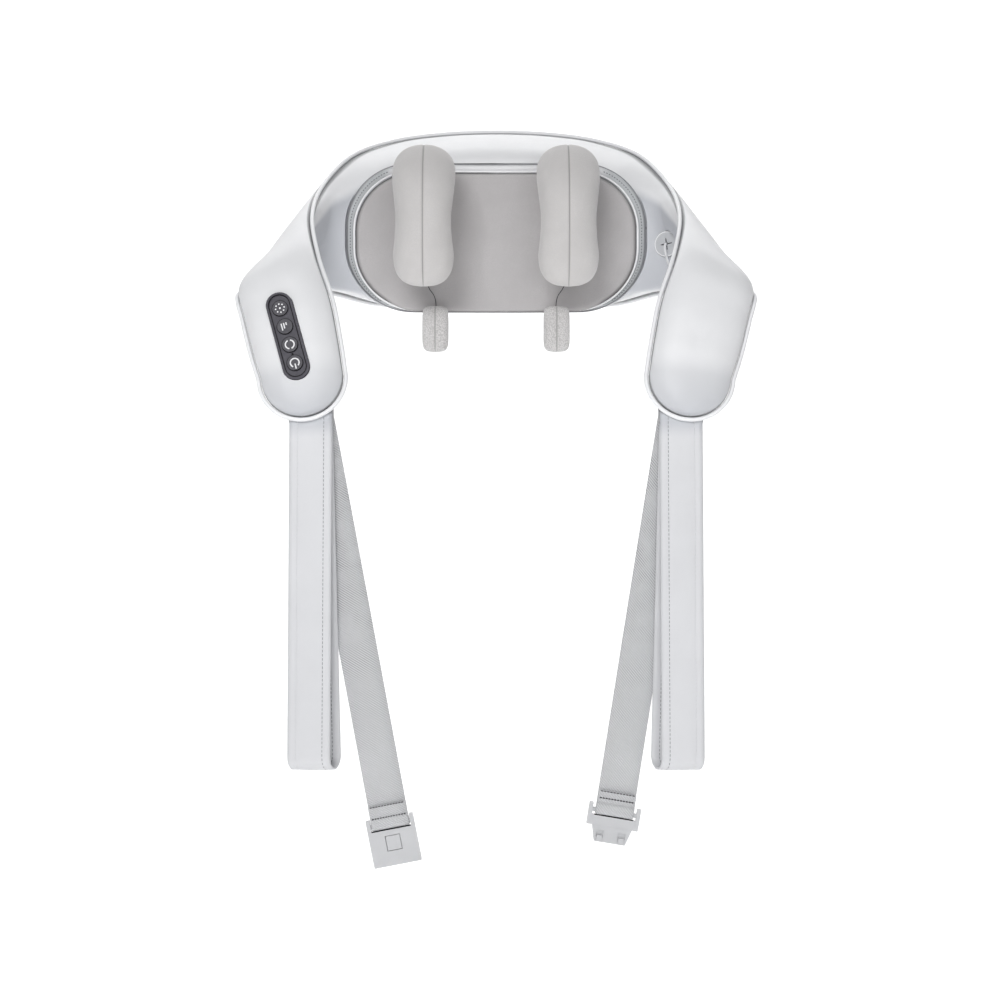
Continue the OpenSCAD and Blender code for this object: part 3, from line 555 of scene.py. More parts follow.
def boxiness(u):
    """1 at the back, where the inner face is a box, and 0 in the wings, where it is a pillow."""
    return float(np.clip((4 - u) / 1.5, 0, 1))


def front_section(u, s):
    """How far out and how far across the outer face lies at station u, for an array of shares s."""
    return EDGE_HALF + bulge_at(FRONT_BULGE, u) * pillow(s) * end_taper(u), s


def rear_section(u, s):
    box = boxiness(u)
    rise = EDGE_HALF + bulge_at(REAR_BULGE, u) * mix(pillow(s), box_share(s), box) * end_taper(u)
    return rise, mix(s, box_place(s), box)


def section_points(u, section, side, s):
    """The face's points and the seam plane's points behind it, at station u of the right half."""
    top, bottom, out = top_at(u), bottom_at(u), outward(u) * side
    rise, place = section(u, s)
    face = top + np.outer(place, bottom - top) + np.outer(rise, out)
    plane = top + np.outer(s, bottom - top) + out * 0.1
    return face, plane, out


def smooth_rows(grid, passes):
    """Rounds the corners of each cross-section and keeps its ends."""
    for _ in range(passes):
        grid[:, 1:-1] = 0.5 * grid[:, 1:-1] + 0.25 * (grid[:, :-2] + grid[:, 2:])
    return grid


def cover(name, section, stations, s, side, smoothing, wrinkle, painted_shade):
    """One face of the collar, closed on the seam's plane behind it. Its last argument gives the painted
    shade at each station and share, and the leather along the seams gets painted shade too.
    """
    half = [section_points(u, section, side, s) for u in stations]
    flip = np.array([-1, 1, 1])
    both = [tuple(part * flip for part in row) for row in half[:0:-1]] + half
    grid = smooth_rows(np.array([row[0] for row in both]), smoothing)
    plane = np.array([row[1] for row in both])
    rows, cols = grid.shape[:2]
    edge_fade = smoothstep(np.minimum(s, 1 - s) / 0.12)
    for i in range(rows):
        for j in range(1, cols - 1):
            p = Vector(grid[i, j])
            soft = 0.5 * noise.noise(p / FINE_WRINKLE) + noise.noise(p / SLOW_WRINKLE + Vector((7, 3, 1)))
            grid[i, j] += both[i][2] * soft * wrinkle * edge_fade[j]
    verts = np.concatenate([grid.reshape(-1, 3), plane.reshape(-1, 3)])
    size = rows * cols
    faces = grid_faces(rows, cols) + [tuple(reversed(f)) for f in grid_faces(rows, cols, start=size)]
    rim = [i * cols for i in range(rows)] + [(rows - 1) * cols + j for j in range(1, cols)]
    rim += [i * cols + cols - 1 for i in range(rows - 2, -1, -1)] + list(range(cols - 2, 0, -1))
    faces += [(a, b, b + size, a + size) for a, b in zip(rim, rim[1:] + rim[:1])]
    obj = mesh_piece(name, verts, faces, WHITE)
    # Painted shade in the seams, where the leather meets the piping.
    seam = 1 - smoothstep((np.minimum(s, 1 - s) - 0.002) / 0.010)
    mark(obj, "seam", np.concatenate([np.tile(seam, rows), np.ones(size)]))
    # The painted shade from the last argument, for each station.
    half_shade = [painted_shade(u, s) for u in stations]
    mark(obj, "painted_shade", np.concatenate([*half_shade[:0:-1], *half_shade, np.zeros(size)]))
    return obj


def outer_painted_shade(u, s):
    """Painted shade: the wings' round ends turn a little greyer."""
    return np.full(len(s), 0.75 * smoothstep((u - LAST + 0.7) / 1.6))


def inner_painted_shade(u, s):
    """Painted shade: the flanks beside the fabric panel are greyer between light borders."""
    along = smoothstep((u - 1.9) / 0.5) * (1 - smoothstep((u - 4.6) / 0.9))
    return 0.9 * along * smoothstep((s - 0.10) / 0.10) * (1 - smoothstep((s - 0.90) / 0.06))


def seam_spaced(count):
    """Shares from 0 to 1 that crowd towards both ends."""
    t = np.linspace(0, 1, count)
    return 0.5 - 0.5 * np.cos(math.pi * t)


def collar_stations(step):
    """Stations of the right half, closer together round the wing's end."""
    round_end = [LAST + 0.97 * math.sin(a) for a in np.linspace(0, math.pi / 2, 14)]
    return list(np.arange(0, LAST, step)) + round_end


outer_cover = cover("outer_leather", front_section, collar_stations(0.08), seam_spaced(46), side=1,
                    smoothing=0, wrinkle=0.35, painted_shade=outer_painted_shade)
inner_cover = cover("inner_leather", rear_section, collar_stations(0.06), seam_spaced(90), side=-1,
                    smoothing=5, wrinkle=0.3, painted_shade=inner_painted_shade)
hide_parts("back_outer_cover", "left_wing_front_pad", "right_wing_front_pad")
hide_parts("back_inner_cover", "left_wing_rear_pad", "right_wing_rear_pad")

PIPING_RADIUS = 1.6
PIPING_OUT = 2.0


def piping_edge(u, side):
    t, b = top_at(abs(u)), bottom_at(abs(u))
    out = unit(b - t) * PIPING_OUT
    p = t - out if side < 0 else b + out
    return p if u >= 0 else mirrored(p)


def piping_end(turn):
    """The piping's line round the wing's end, from half a turn at the top edge to none at the bottom."""
    reach = 1 + PIPING_OUT / np.linalg.norm(END_ACROSS)
    return END_MIDDLE + (END_ACROSS * math.cos(turn) + END_DOWN * math.sin(turn)) * reach


def piping_line():
    """The piping's line: along the top edge, round the wing's end and back along the bottom, both sides."""
    half = [piping_edge(u, -1) for u in np.linspace(0, LAST, 90)[:-1]]
    half += [piping_end(math.pi - a) for a in np.linspace(0, math.pi, 30)]
    half += [piping_edge(u, 1) for u in np.linspace(LAST, 0, 90)[1:]]
    return np.array(half + [mirrored(p) for p in half[-2:0:-1]])


piping_path = resampled_loop(piping_line(), 2.5)
piping = swept("edge_piping_tube", piping_path, circle(PIPING_RADIUS, 14), PIPING_AND_HIGHLIGHT_WHITE,
               closed=True, lean=(0.13, 1, 0.11))
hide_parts("edge_piping")

# ---- Fabric panel and the zip round it -----------------------------------------------------------
PANEL_CURVE = 600.0
PANEL_Z = -1.0
PANEL_W, PANEL_H, PANEL_R = 224.0, 110.0, 48.0
RING_W, RING_H, RING_R, RING_LIFT = 7.0, 9.0, 4.0, 2.5     # the zip ring beyond the panel
PANEL_T = 3.0
PANEL_HANG = 2.0        # how far the fabric's bottom edge rolls down over the zip


def drum_y(x, set_back=0.0):
    """The depth of the panel's hollow at x."""
    r = PANEL_CURVE + set_back
    return math.sqrt(r * r - x * x) - PANEL_CURVE


def round_outline(width, height, radius, middle, per_arc=26, per_side=30):
    """Points of a rounded rectangle, anticlockwise from the right side's upper end. Two outlines of
    different sizes match point by point."""
    corners = [(1, 1), (-1, 1), (-1, -1), (1, -1)]
    arcs = []
    for k, corner in enumerate(corners):
        centre = np.array(corner) * (width / 2 - radius, height / 2 - radius) + (0, middle)
        angles = np.radians(90 * k + 90 * np.arange(per_arc + 1) / per_arc)
        arcs.append(centre + radius * np.stack([np.cos(angles), np.sin(angles)], axis=1))
    points = []
    for arc, following in zip(arcs, arcs[1:] + arcs[:1]):
        points += list(arc) + [mix(arc[-1], following[0], i / per_side) for i in range(1, per_side)]
    return np.array(points)


def panel_outline(grow):
    return round_outline(PANEL_W + 2 * grow, PANEL_H + 2 * grow, PANEL_R + grow, PANEL_Z)


def ring_outline(grow):
    return round_outline(PANEL_W + 2 * RING_W + 2 * grow, PANEL_H + RING_H + 2 * grow,
                         PANEL_R + RING_R + grow, PANEL_Z + RING_LIFT)


def prism(name, outline, place, levels, material):
    """A solid between the two levels over an outline. place(x, y, level) gives its points."""
    verts = [place(x, y, level) for level in levels for x, y in outline]
    return mesh_piece(name, verts, prism_faces(len(outline)), material, smooth=False)


def pocket_prism(outline):
    """The room for the panel: flat in front, and hollow like the panel at its back."""
    rings = 14
    middle = np.array([0.0, PANEL_Z + RING_LIFT])
    depth = PANEL_T + 0.3
    verts = [(x, -70.0, z) for x, z in outline]
    n = len(outline)
    faces = [tuple(range(n))]
    for k in range(rings):
        for x, z in middle + (outline - middle) * (1 - k / rings):
            verts.append((x, drum_y(x, depth), z))
    verts.append((0.0, drum_y(0, depth), middle[1]))
    faces += grid_faces(rings + 1, n, wrap_cols=True)
    last_ring = rings * n
    faces += [(last_ring + i, last_ring + (i + 1) % n, len(verts) - 1) for i in range(n)]
    return mesh_piece("pocket_cutter", verts, faces, WHITE, smooth=False)


outer_shade_marks, inner_shade_marks = marks_of(outer_cover, "painted_shade"), marks_of(inner_cover, "painted_shade")
cut_away(inner_cover, pocket_prism(ring_outline(0.6)))

# The control panel's place on the left wing, as part.scad has it.
WING_SPOT = np.array([-150.6, -134.2, -89.4])
WING_LEAN, WING_TURN = math.radians(13.5), math.radians(-16.5)
WING_OUT = np.array([math.sin(WING_LEAN) * math.sin(WING_TURN), -math.cos(WING_LEAN),
                     math.sin(WING_LEAN) * math.cos(WING_TURN)])
WING_UP = np.array([math.cos(WING_LEAN) * math.sin(WING_TURN), math.sin(WING_LEAN),
                    math.cos(WING_LEAN) * math.cos(WING_TURN)])
WING_RIGHT = np.cross(WING_UP, WING_OUT)


def on_wing(x, y, z):
    """From the control panel's own frame, z out of its face, to the model's frame."""
    return WING_SPOT + WING_RIGHT * x + WING_UP * y + WING_OUT * z


def stadium(length, width):
    """A bar with round ends, standing up."""
    half, radius = (length - width) / 2, width / 2
    upper = [(radius * math.cos(a), half + radius * math.sin(a)) for a in np.linspace(0, math.pi, 20)]
    return upper + [(-x, -y) for x, y in upper]


BEZEL_L, BEZEL_W, BEZEL_GAP = 68.0, 19.5, 0.7
GROMMET_SPOT = np.array([134.6, -21.4, -6.5])
GROMMET_TURN = math.radians(28)
GROMMET_R, GROMMET_RIM_R = 10.0, 9.6


def on_grommet(x, y, z):
    """From the grommet's own frame, z out of its face, to the model's frame."""
    out = np.array([-math.sin(GROMMET_TURN), -math.cos(GROMMET_TURN), 0])
    right = np.array([math.cos(GROMMET_TURN), -math.sin(GROMMET_TURN), 0])
    return GROMMET_SPOT + right * x + np.array([0, 0, 1]) * y + out * z


def grommet_disc(name, radius, low, high, material):
    rings = [[on_grommet(x, y, level) for x, y in circle(radius, 40)] for level in (low, high)]
    return lofted(name, rings, material)


cut_away(inner_cover, grommet_disc("grommet_cutter", GROMMET_R + 0.3, -6, 40, WHITE))
# A black disc just under the grommet's face, seen through its slits: painted shade in the hollow behind
# them.
grommet_slit_shade = grommet_disc("grommet_slit_shade_disc", 5.0, -2, -0.2, BLACK_LENS_AND_SHADE)
# A thin white ring round the grommet's face: painted highlight on its raised rim.
grommet_rim_highlight = swept("grommet_rim_highlight", [on_grommet(x, y, 0.95) for x, y in circle(GROMMET_RIM_R, 60)],
                    circle(0.45, 8), PIPING_AND_HIGHLIGHT_WHITE, closed=True, lean=(-0.47, -0.88, 0))
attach(grommet_slit_shade, COLLAR)
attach(grommet_rim_highlight, COLLAR)

# The battery lead comes out of the grommet, hangs in a short bow and goes into the wing's seam.
LEAD_RADIUS = 1.0
LEAD_POINTS = [
    [134.2, -22.1, -6.5], [133.2, -24, -6.8], [132.8, -25.2, -8.4], [132.8, -26.2, -11.4],
    [133.2, -27.6, -15], [133.8, -29.8, -19], [134.8, -33.6, -23.4], [136.4, -39, -27.4],
    [138.8, -46, -30.6], [142, -54, -33.4], [146, -62, -35.6], [150, -69, -37], [153.2, -74.4, -37.2],
    [155.6, -78, -35.6], [156.8, -79.6, -32.6]]
lead_line = np.array([catmull(LEAD_POINTS, t) for t in np.linspace(0, len(LEAD_POINTS) - 1, 71)])
lead = swept("battery_lead_jacket", lead_line, circle(LEAD_RADIUS, 12), LEAD, lean=(1, 0.1, 0))
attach(lead, COLLAR)
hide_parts("battery_lead")

bezel_room = stadium(BEZEL_L + BEZEL_GAP, BEZEL_W + BEZEL_GAP)
cut_away(outer_cover, prism("bezel_cutter", bezel_room, on_wing, (-9, 12), WHITE))
for cut_cover, marks in ((outer_cover, outer_shade_marks), (inner_cover, inner_shade_marks)):
    mark_again(cut_cover, marks)
    sharp_above(cut_cover, 48)


def low_share(z):
    """1 along the panel's bottom, where its fabric rolls over the zip, and 0 above."""
    return float(smoothstep((-48 - z) / 6))


def panel_surface():
    """The fabric panel: hollow across, with a soft roll at its edge and a slight fullness."""
    outline = panel_outline(-0.4)
    middle = np.array([0.0, PANEL_Z])
    shares = list(np.linspace(0, 0.93, 34))[1:] + [0.955, 0.972, 0.985, 0.994, 1.0]
    verts, seams = [], []
    for share in shares:
        roll = 2.4 * max(0.0, (share - 0.955) / 0.045) ** 2.2
        full = 0.5 * smoothstep((1 - share) / 0.2)
        # Painted shade where the fabric rolls over at its edge; the back gets it in full.
        seams += [0.8 * smoothstep((share - 0.975) / 0.025)] * len(outline)
        for x, z in middle + (outline - middle) * share:
            ripple = 0.22 * noise.noise(Vector((x / 14, z / 14, 3.1)))
            verts.append((x, drum_y(x) + roll + 0.6 - full - ripple, z - PANEL_HANG * low_share(z)))
    n = len(outline)
    faces = grid_faces(len(shares), n, wrap_cols=True)
    verts.append((0, drum_y(0) + 0.1, PANEL_Z))
    seams.append(0)
    faces += [((i + 1) % n, i, len(verts) - 1) for i in range(n)]
    rim, start = (len(shares) - 1) * n, len(verts)
    verts += [(x, drum_y(x, PANEL_T), z - PANEL_HANG * low_share(z)) for x, z in outline]
    faces += [(rim + i, rim + (i + 1) % n, start + (i + 1) % n, start + i) for i in range(n)]
    verts.append((0.0, drum_y(0, PANEL_T), PANEL_Z))
    faces += [(start + i, start + (i + 1) % n, len(verts) - 1) for i in range(n)]
    seams += [1] * (n + 1)
    obj = mesh_piece("panel_knit_cover", verts, faces, PANEL_KNIT)
    mark(obj, "seam", seams)
    return obj


CLAW_X, SWING_IN, THUMB_IN = 56.0, 2.5, 8.0
SLOT_W, SLOT_H, SLOT_Z, SLOT_R = 27.0, 40.0, 26.0, 9.0


def slot_outline(side, grow):
    """The opening in the panel that a claw's arm comes out of."""
    points = round_outline(SLOT_W + 2 * grow, SLOT_H + 2 * grow, SLOT_R + grow, SLOT_Z, 8, 6)
    return points + np.array([side * (CLAW_X - SWING_IN), 0])


PANEL_SEAM = [(54.9, -36.2), (52.6, -40.6), (49.8, -44.4), (48.4, -48.6), (47.8, -53.6)]
panel = panel_surface()
for side, word in SIDES:
    slot_cutter = prism("slot_cutter", slot_outline(side, 0), lambda x, z, y: (x, y, z), (-30, 20), WHITE)
    cut_away(panel, slot_cutter)
    hem_line = [(x, drum_y(x) + 0.3, z) for x, z in slot_outline(side, 0.1)]
    hem = swept(f"{word}_opening_hem", hem_line, circle(0.8, 8), PANEL_KNIT, closed=True)
    # A thin dark tube along each seam from the claw down to the thumb: painted shadow of the seam's groove.
    flat_seam = [catmull(PANEL_SEAM, t) * (side, 1) for t in np.linspace(0, len(PANEL_SEAM) - 1, 17)]
    seam = swept(f"{word}_panel_seam_shadow", [(x, drum_y(x) + 0.02, z) for x, z in flat_seam], circle(0.3, 8),
                 DARK_LINE)
    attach(hem, COLLAR)
    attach(seam, COLLAR)
sharp_above(panel, 50)
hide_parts("fabric_panel")


def ring_line(share, set_back):
    """A line round the panel, share of the way from the panel's edge to the ring's outer edge."""
    inner, outer = panel_outline(0.3), ring_outline(-0.2)
    flat = inner * (1 - share) + outer * share
    return np.array([(x, drum_y(x, set_back) + 2.6 * low_share(z), z) for x, z in flat])


TEETH_PITCH = 2.4
TOOTH_SIZE = (0.62, 0.34, 0.28)     # half its length along the zip, across it and out of it


def top_share(p):
    """1 along the straight top of the ring, which is a plain white band without teeth."""
    return float(smoothstep((p[2] - 47) / 5) * (1 - smoothstep((abs(p[0]) - 78) / 16)))


def tape():
    """The zip's tape, as lines round the ring: share of the way out, and depth."""
    section = ((0.16, 1.6), (0.2, 1.2), (0.5, 1.0), (0.8, 1.2), (0.9, 2.4), (0.9, 3), (0.16, 3))
    rings = [ring_line(share, depth) for share, depth in section]
    faces = grid_faces(len(rings), len(rings[0]), wrap_rows=True, wrap_cols=True)
    verts = np.concatenate(rings)
    band = mesh_piece("zip_tape_band", verts, faces, ZIP_TAPE)
    mark(band, "plain", [top_share(v) for v in verts])
    return band


# A box's corners as signs along, across and out, and its faces.
BOX_CORNERS = np.array([(a, b, c) for a in (-1, 1) for b in (-1, 1) for c in (-1, 1)])
BOX_FACES = ((0, 1, 3, 2), (4, 6, 7, 5), (0, 4, 5, 1), (2, 3, 7, 6), (0, 2, 6, 4), (1, 5, 7, 3))


def zip_teeth():
    """Small coil teeth along the middle of the tape."""
    line = resampled_loop(ring_line(0.52, 0.9), TEETH_PITCH)
    verts, faces = [], []
    for i, p in enumerate(line):
        if top_share(p) > 0.5 or low_share(p[2]) > 0.3:
            continue
        along = unit(line[(i + 1) % len(line)] - line[i - 1])
        across = np.cross(along, (0, 1, 0))
        faces += [tuple(len(verts) + j for j in face) for face in BOX_FACES]
        verts += [p + np.array([along, across, (0, -1, 0)]).T @ (corner * TOOTH_SIZE)
                  for corner in BOX_CORNERS]
    return mesh_piece("zip_coil_teeth", verts, faces, TEETH, smooth=False)


zip_band = tape()
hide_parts("zip_ring")
panel_piping = swept("panel_piping", ring_line(0.05, -0.1), circle(0.8, 10), PIPING_AND_HIGHLIGHT_WHITE,
                     closed=True)
outer_bead = swept("zip_outer_bead", ring_line(0.94, 1.0), circle(0.4, 8), THREAD, closed=True)
for part in (outer_cover, inner_cover, piping, panel, zip_band, zip_teeth(), panel_piping, outer_bead):
    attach(part, COLLAR)

# ---- Claws ---------------------------------------------------------------------------------------
# Each lobe's rows, from its root to its tip: y, z, half width, half depth, and slope in degrees.
PALM_ROWS = [
    [6, 23, 8.4, 10.6, 38], [0, 28, 9.0, 11.0, 36], [-6, 33.5, 10.5, 11.2, 26],
    [-11, 38, 13, 11.6, 18], [-17, 43, 18, 15.5, 20], [-26, 48.5, 22.4, 18.5, 8],
    [-36, 48.5, 24.2, 20, -16], [-45, 40, 24.4, 19.5, -45], [-50.5, 26, 23, 18.6, -68],
    [-52, 10, 21.4, 17.8, -86], [-51.5, -6, 22, 17.6, -92], [-50.5, -19, 23.4, 17.2, -95],
    [-48.5, -30, 22, 15.5, -99], [-47, -37.5, 17.5, 11.5, -102], [-46.2, -41.3, 11, 7, -104],
    [-46, -42.6, 4, 2.4, -104]]
THUMB_ROWS = [
    [-12.6, -54.6, 5.0, 2.2, -90], [-12.8, -55.6, 8.0, 3.9, -90], [-13, -58, 9.8, 5.6, -90],
    [-13.4, -64, 10.3, 7.4, -90], [-14, -74, 10.4, 8, -90], [-14, -83, 10.3, 7.6, -90],
    [-14, -87.6, 9.4, 6.2, -90], [-14, -90, 7.0, 4.2, -90], [-14, -90.8, 3.4, 2.0, -90]]
SLEEVE_ROWS = [
    [17, -44, 6.2, 5.4, -97], [15, -54, 6.4, 5.8, -110], [9.5, -62, 6.6, 5.6, -140],
    [2, -67.5, 7, 5.4, -155], [-6, -71, 8, 6, -158]]


def seam_angles(count, seams):
    """Angles round an oval in degrees, crowded round each seam so that it can be narrow."""
    angles = set(np.round(np.linspace(0, 360, count, endpoint=False), 3))
    for seam in seams:
        angles = {a for a in angles if abs((a - seam + 180) % 360 - 180) > 3}
        angles |= {(seam + d) % 360 for d in (-2.6, -1.5, -0.7, 0, 0.7, 1.5, 2.6)}
    return sorted(angles)


def lobe(name, rows, middle_x, material, count, seams, squareness, steps, groove):
    """A padded lobe on oval rows, with grooves where its fabric is sewn and painted shade down in them."""
    angles = seam_angles(count, seams)
    rings, seam_shade_marks = [], []
    for t in np.linspace(0, len(rows) - 1, steps):
        y, z, half_w, half_d, slope = catmull(rows, t)
        lean = math.radians(slope)
        ring = []
        for a in angles:
            c, s = math.cos(math.radians(a)), math.sin(math.radians(a))
            across = abs(c) ** squareness * np.sign(c)
            deep = abs(s) ** squareness * np.sign(s)
            away = min([abs((a - seam + 180) % 360 - 180) for seam in seams] or [180])
            sunk = 1 - groove * (1 - smoothstep(away / 2.4)) / half_d
            px, pd = max(half_w, 0.3) * across, max(half_d, 0.3) * deep * sunk
            ring.append((middle_x + px, y + pd * math.sin(lean), z + pd * math.cos(lean)))
            # Painted shade down in the seam's groove.
            seam_shade_marks.append(1 - smoothstep((away - 0.3) / 0.9))
        rings.append(ring)
    obj = lofted(name, rings, material)
    mark(obj, "seam", seam_shade_marks)
    return obj


for side, word in SIDES:
    palm_x, thumb_x = side * CLAW_X, side * (CLAW_X - THUMB_IN)
    palm = lobe(f"{word}_palm_cover", PALM_ROWS, palm_x, PALM_KNIT, 64, (90,), 0.93, 90, 0.7)
    thumb = lobe(f"{word}_thumb_cover", THUMB_ROWS, thumb_x, TERRY, 48, (90,), 0.72, 56, 0.5)
    sleeve = lobe(f"{word}_thumb_sleeve", SLEEVE_ROWS, thumb_x, PALM_KNIT, 24, (), 0.9, 24, 0)
    for part, slot_name in ((palm, "pad_fabric"), (thumb, "terry"), (sleeve, "pad_fabric")):
        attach(part, f"{word}_claw")
    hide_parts(f"{word}_palm_pad")
    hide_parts(f"{word}_thumb_pad")

# ---- Controls ------------------------------------------------------------------------------------
BUTTON_PITCH, BUTTON_R = 14.4, 5.6
BEZEL_TOP, BUTTON_TOP = 1.8, 2.1
ICON_R, ICON_LINE = 3.2, 0.95


def shade_line(name, outline, radius):
    """A dark line round an outline on the bezel's face, painted as the shade down in a groove there."""
    line = swept(name, [on_wing(x, y, BEZEL_TOP) for x, y in outline], circle(radius, 8), BLACK_LENS_AND_SHADE,
                 closed=True, lean=WING_OUT)
    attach(line, COLLAR)


def icon_piece(button, middle_y, outlines):
    """Flat white marks on a button's face."""
    verts, faces = [], []
    for outline in outlines:
        faces += prism_faces(len(outline), len(verts))
        verts += [on_wing(x, middle_y + y, level) for level in (BUTTON_TOP - 0.05, BUTTON_TOP + 0.08)
                  for x, y in outline]
    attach(mesh_piece(f"icon_{button}", verts, faces, ICON, smooth=False), f"{button}_button")


def bar(x0, y0, x1, y1):
    return [(x0, y0), (x1, y0), (x1, y1), (x0, y1)]


def arc_band(start, end):
    """A piece of a ring from one angle to another, in degrees."""
    angles = np.radians(np.linspace(start, end, 20))
    radii = (ICON_R + ICON_LINE / 2, ICON_R - ICON_LINE / 2)
    outer, inner = [[(r * math.cos(a), r * math.sin(a)) for a in angles] for r in radii]
    return outer + inner[::-1]


# The marks are generic pictograms: a ring of dots, falling bars, two turning arcs and a power sign.
ICONS = {
    "heat": [circle(0.58, 14, x, y) for x, y in circle(ICON_R, 8)] + [circle(0.72, 14)],
    "level": [bar(-2.6, -2.8, -1.75, 2.6), bar(-0.8, -1.7, 0.05, 2.6), bar(1.0, 0.6, 1.85, 2.6)],
    "direction": [arc_band(104, 252), arc_band(-80, 72)],
    "power": [arc_band(-55, 235), bar(-0.45, -4.7, 0.45, -0.8)],
}
# Painted shade in the groove inside the bezel's rim.
shade_line("bezel_groove_shade", stadium(BEZEL_L - 4.2, BEZEL_W - 4.2), 0.22)
for k, (button, outlines) in enumerate(ICONS.items()):
    middle_y = (1.5 - k) * BUTTON_PITCH
    # Painted shade in the gap round each button.
    shade_line(f"{button}_button_gap_shade", circle(BUTTON_R + 0.15, 40, 0, middle_y), 0.3)
    icon_piece(button, middle_y, outlines)

# ---- Straps --------------------------------------------------------------------------------------
ANCHOR = np.array([134.0, -131.0, -152.0])
LOOP_W, LOOP_T = 31.0, 2.4
LOOP_TOP, LOOP_BOTTOM = ANCHOR[2] + 6, -403.5
LOOP_SEAM = 6.0          # the stitch rows' distance from the loop's edges
LOOP_BIG, LOOP_SMALL = 9.5, 2.9
LOOP_FRONT_DRIFT, LOOP_BACK_DRIFT = 1.2, -6.0


def loop_line():
    """The hand loop's middle line, from its top back over to the front, down, and round."""
    big, small = LOOP_BIG - LOOP_T / 2, LOOP_SMALL - LOOP_T / 2
    low = LOOP_BOTTOM + LOOP_BIG
    lean = math.asin((big - small) / (LOOP_TOP - low))
    top = [(small * math.cos(a), LOOP_TOP + small * math.sin(a))
           for a in np.linspace(lean, math.pi - lean, 9)]
    bottom = [(big * math.cos(a), low + big * math.sin(a))
              for a in np.linspace(math.pi - lean, 2 * math.pi + lean, 25)]
    return [loop_place(y, z) for y, z in top + bottom]


def loop_place(y, z):
    """The loop hangs a little twisted: its back layer drifts towards the middle, the front one out."""
    low = (LOOP_TOP - z) / (LOOP_TOP - LOOP_BOTTOM)
    back = 0.5 + 0.5 * y / mix(LOOP_SMALL, LOOP_BIG, min(1.0, low))
    x = ANCHOR[0] + low * mix(LOOP_FRONT_DRIFT, LOOP_BACK_DRIFT, back)
    return np.array([x, ANCHOR[1] - 0.8 + y, z])


def strap_section(width, crown, seam_at):
    """The strap's section as (across, share of the thickness), sunk along a seam if it has one."""
    half = width / 2
    profile = [(-half, 0), (-half + 0.5, 0.42)]
    dips = ((-3, 0), (-1, 0.02), (0, 0.09), (1, 0.02)) if seam_at else ()
    profile += [(-half + seam_at + d, 0.5 - dip) for d, dip in dips]
    profile += [(-half * 0.4, 0.5 + crown * 0.1), (0, 0.5 + crown * 0.14)]
    profile += [(-x, h) for x, h in profile[-2::-1]]
    return profile + [(x, -h) for x, h in profile[-2:0:-1]]


def strap(name, line, section, thickness, material, across, closed=False, fold=None):
    """A flat strap along line. Its UV map is in metres across and along the strap. Past the point
    numbered fold, where the strap turns back up, the map is turned over."""
    across = unit(across)
    verts = []
    for point, along in zip(line, headings(line, closed)):
        out = unit(np.cross(along, across))
        verts += [point + across * x + out * h * thickness for x, h in section]
    rows, cols = len(line), len(section)
    faces = grid_faces(rows, cols, wrap_rows=closed, wrap_cols=True)
    if not closed:
        faces += end_faces(rows, cols)
    obj = mesh_piece(name, verts, faces, material)
    lengths = lengths_along(line)
    uv = obj.data.uv_layers.new(name="strap")
    for loop in obj.data.loops:
        i, j = divmod(loop.vertex_index, cols)
        turned = -1 if fold is not None and i > fold else 1
        uv.data[loop.index].uv = (turned * section[j][0] * MM, lengths[i] * MM)
    return obj


def stitches(name, line, across, material, length, pitch, radius, offset=0.0, lift=0.0):
    """A row of stitches along line, moved across by offset and lifted off the face by lift."""
    line = resample(line, pitch)
    across = unit(across)
    verts, faces = [], []
    for before, after in zip(line, line[1:]):
        along = unit(after - before)
        out = unit(np.cross(along, across))
        middle = (before + after) / 2 + across * offset + out * lift
        faces += grid_faces(4, 6, wrap_cols=True, start=len(verts)) + end_faces(4, 6, len(verts))
        for share, size in ((-1, 0.4), (-0.7, 1), (0.7, 1), (1, 0.4)):
            centre = middle + along * share * length / 2
            verts += [centre + across * a + out * b for a, b in circle(radius * size, 6)]
    return mesh_piece(name, verts, faces, material)


def hand_loop(side, word):
    """A padded band sewn in at the wing's end, with a stitched seam along each edge."""
    line = resampled_loop(np.array(loop_line()) * (side, 1, 1), 3.0)
    section = strap_section(LOOP_W, 0.5, LOOP_SEAM)
    loop = strap(f"{word}_loop_strap", line, section, LOOP_T, LOOP_LEATHER, (1, 0, 0), closed=True)
    # Painted shadow under the wing's rim: the loop turns greyer towards its top.
    mark(loop, "painted_shade", [0.8 * smoothstep((v.co.z / MM - LOOP_TOP + 18) / 14) for v in loop.data.vertices])
    whole_line = np.vstack([line, line[:1]])
    rows = []
    for edge, edge_word, thread in ((-side, "inner", THREAD), (side, "outer", LOOP_LEATHER)):
        for face, face_word in ((1, "front"), (-1, "lining")):
            name = f"{word}_loop_{edge_word}_{face_word}_stitches"
            rows.append(stitches(name, whole_line, (1, 0, 0), thread, length=2.0, pitch=3.0, radius=0.21,
                                 offset=edge * (LOOP_W / 2 - LOOP_SEAM), lift=face * (LOOP_T / 2 - 0.05)))
    for part in [loop] + rows:
        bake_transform(part)
    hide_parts(f"{word}_hand_loop")


# ---- Webbing with its buckle ---------------------------------------------------------------------
WEBBING_LENGTH = {"left": 297.0, "right": 287.0}
WEBBING_SPLAY = {"left": math.radians(11.0), "right": math.radians(9.5)}
WEBBING_W, WEBBING_T = 28.0, 1.5
WEBBING_LEAN = math.radians(1.8)
WEBBING_SHIFT = -3.0     # the webbing's top end is sewn in a little towards the middle
WEBBING_OUT = np.array([0.0, 3.8, -1.6])     # from the anchor to the webbing's own frame
FOLD_END = 15.0
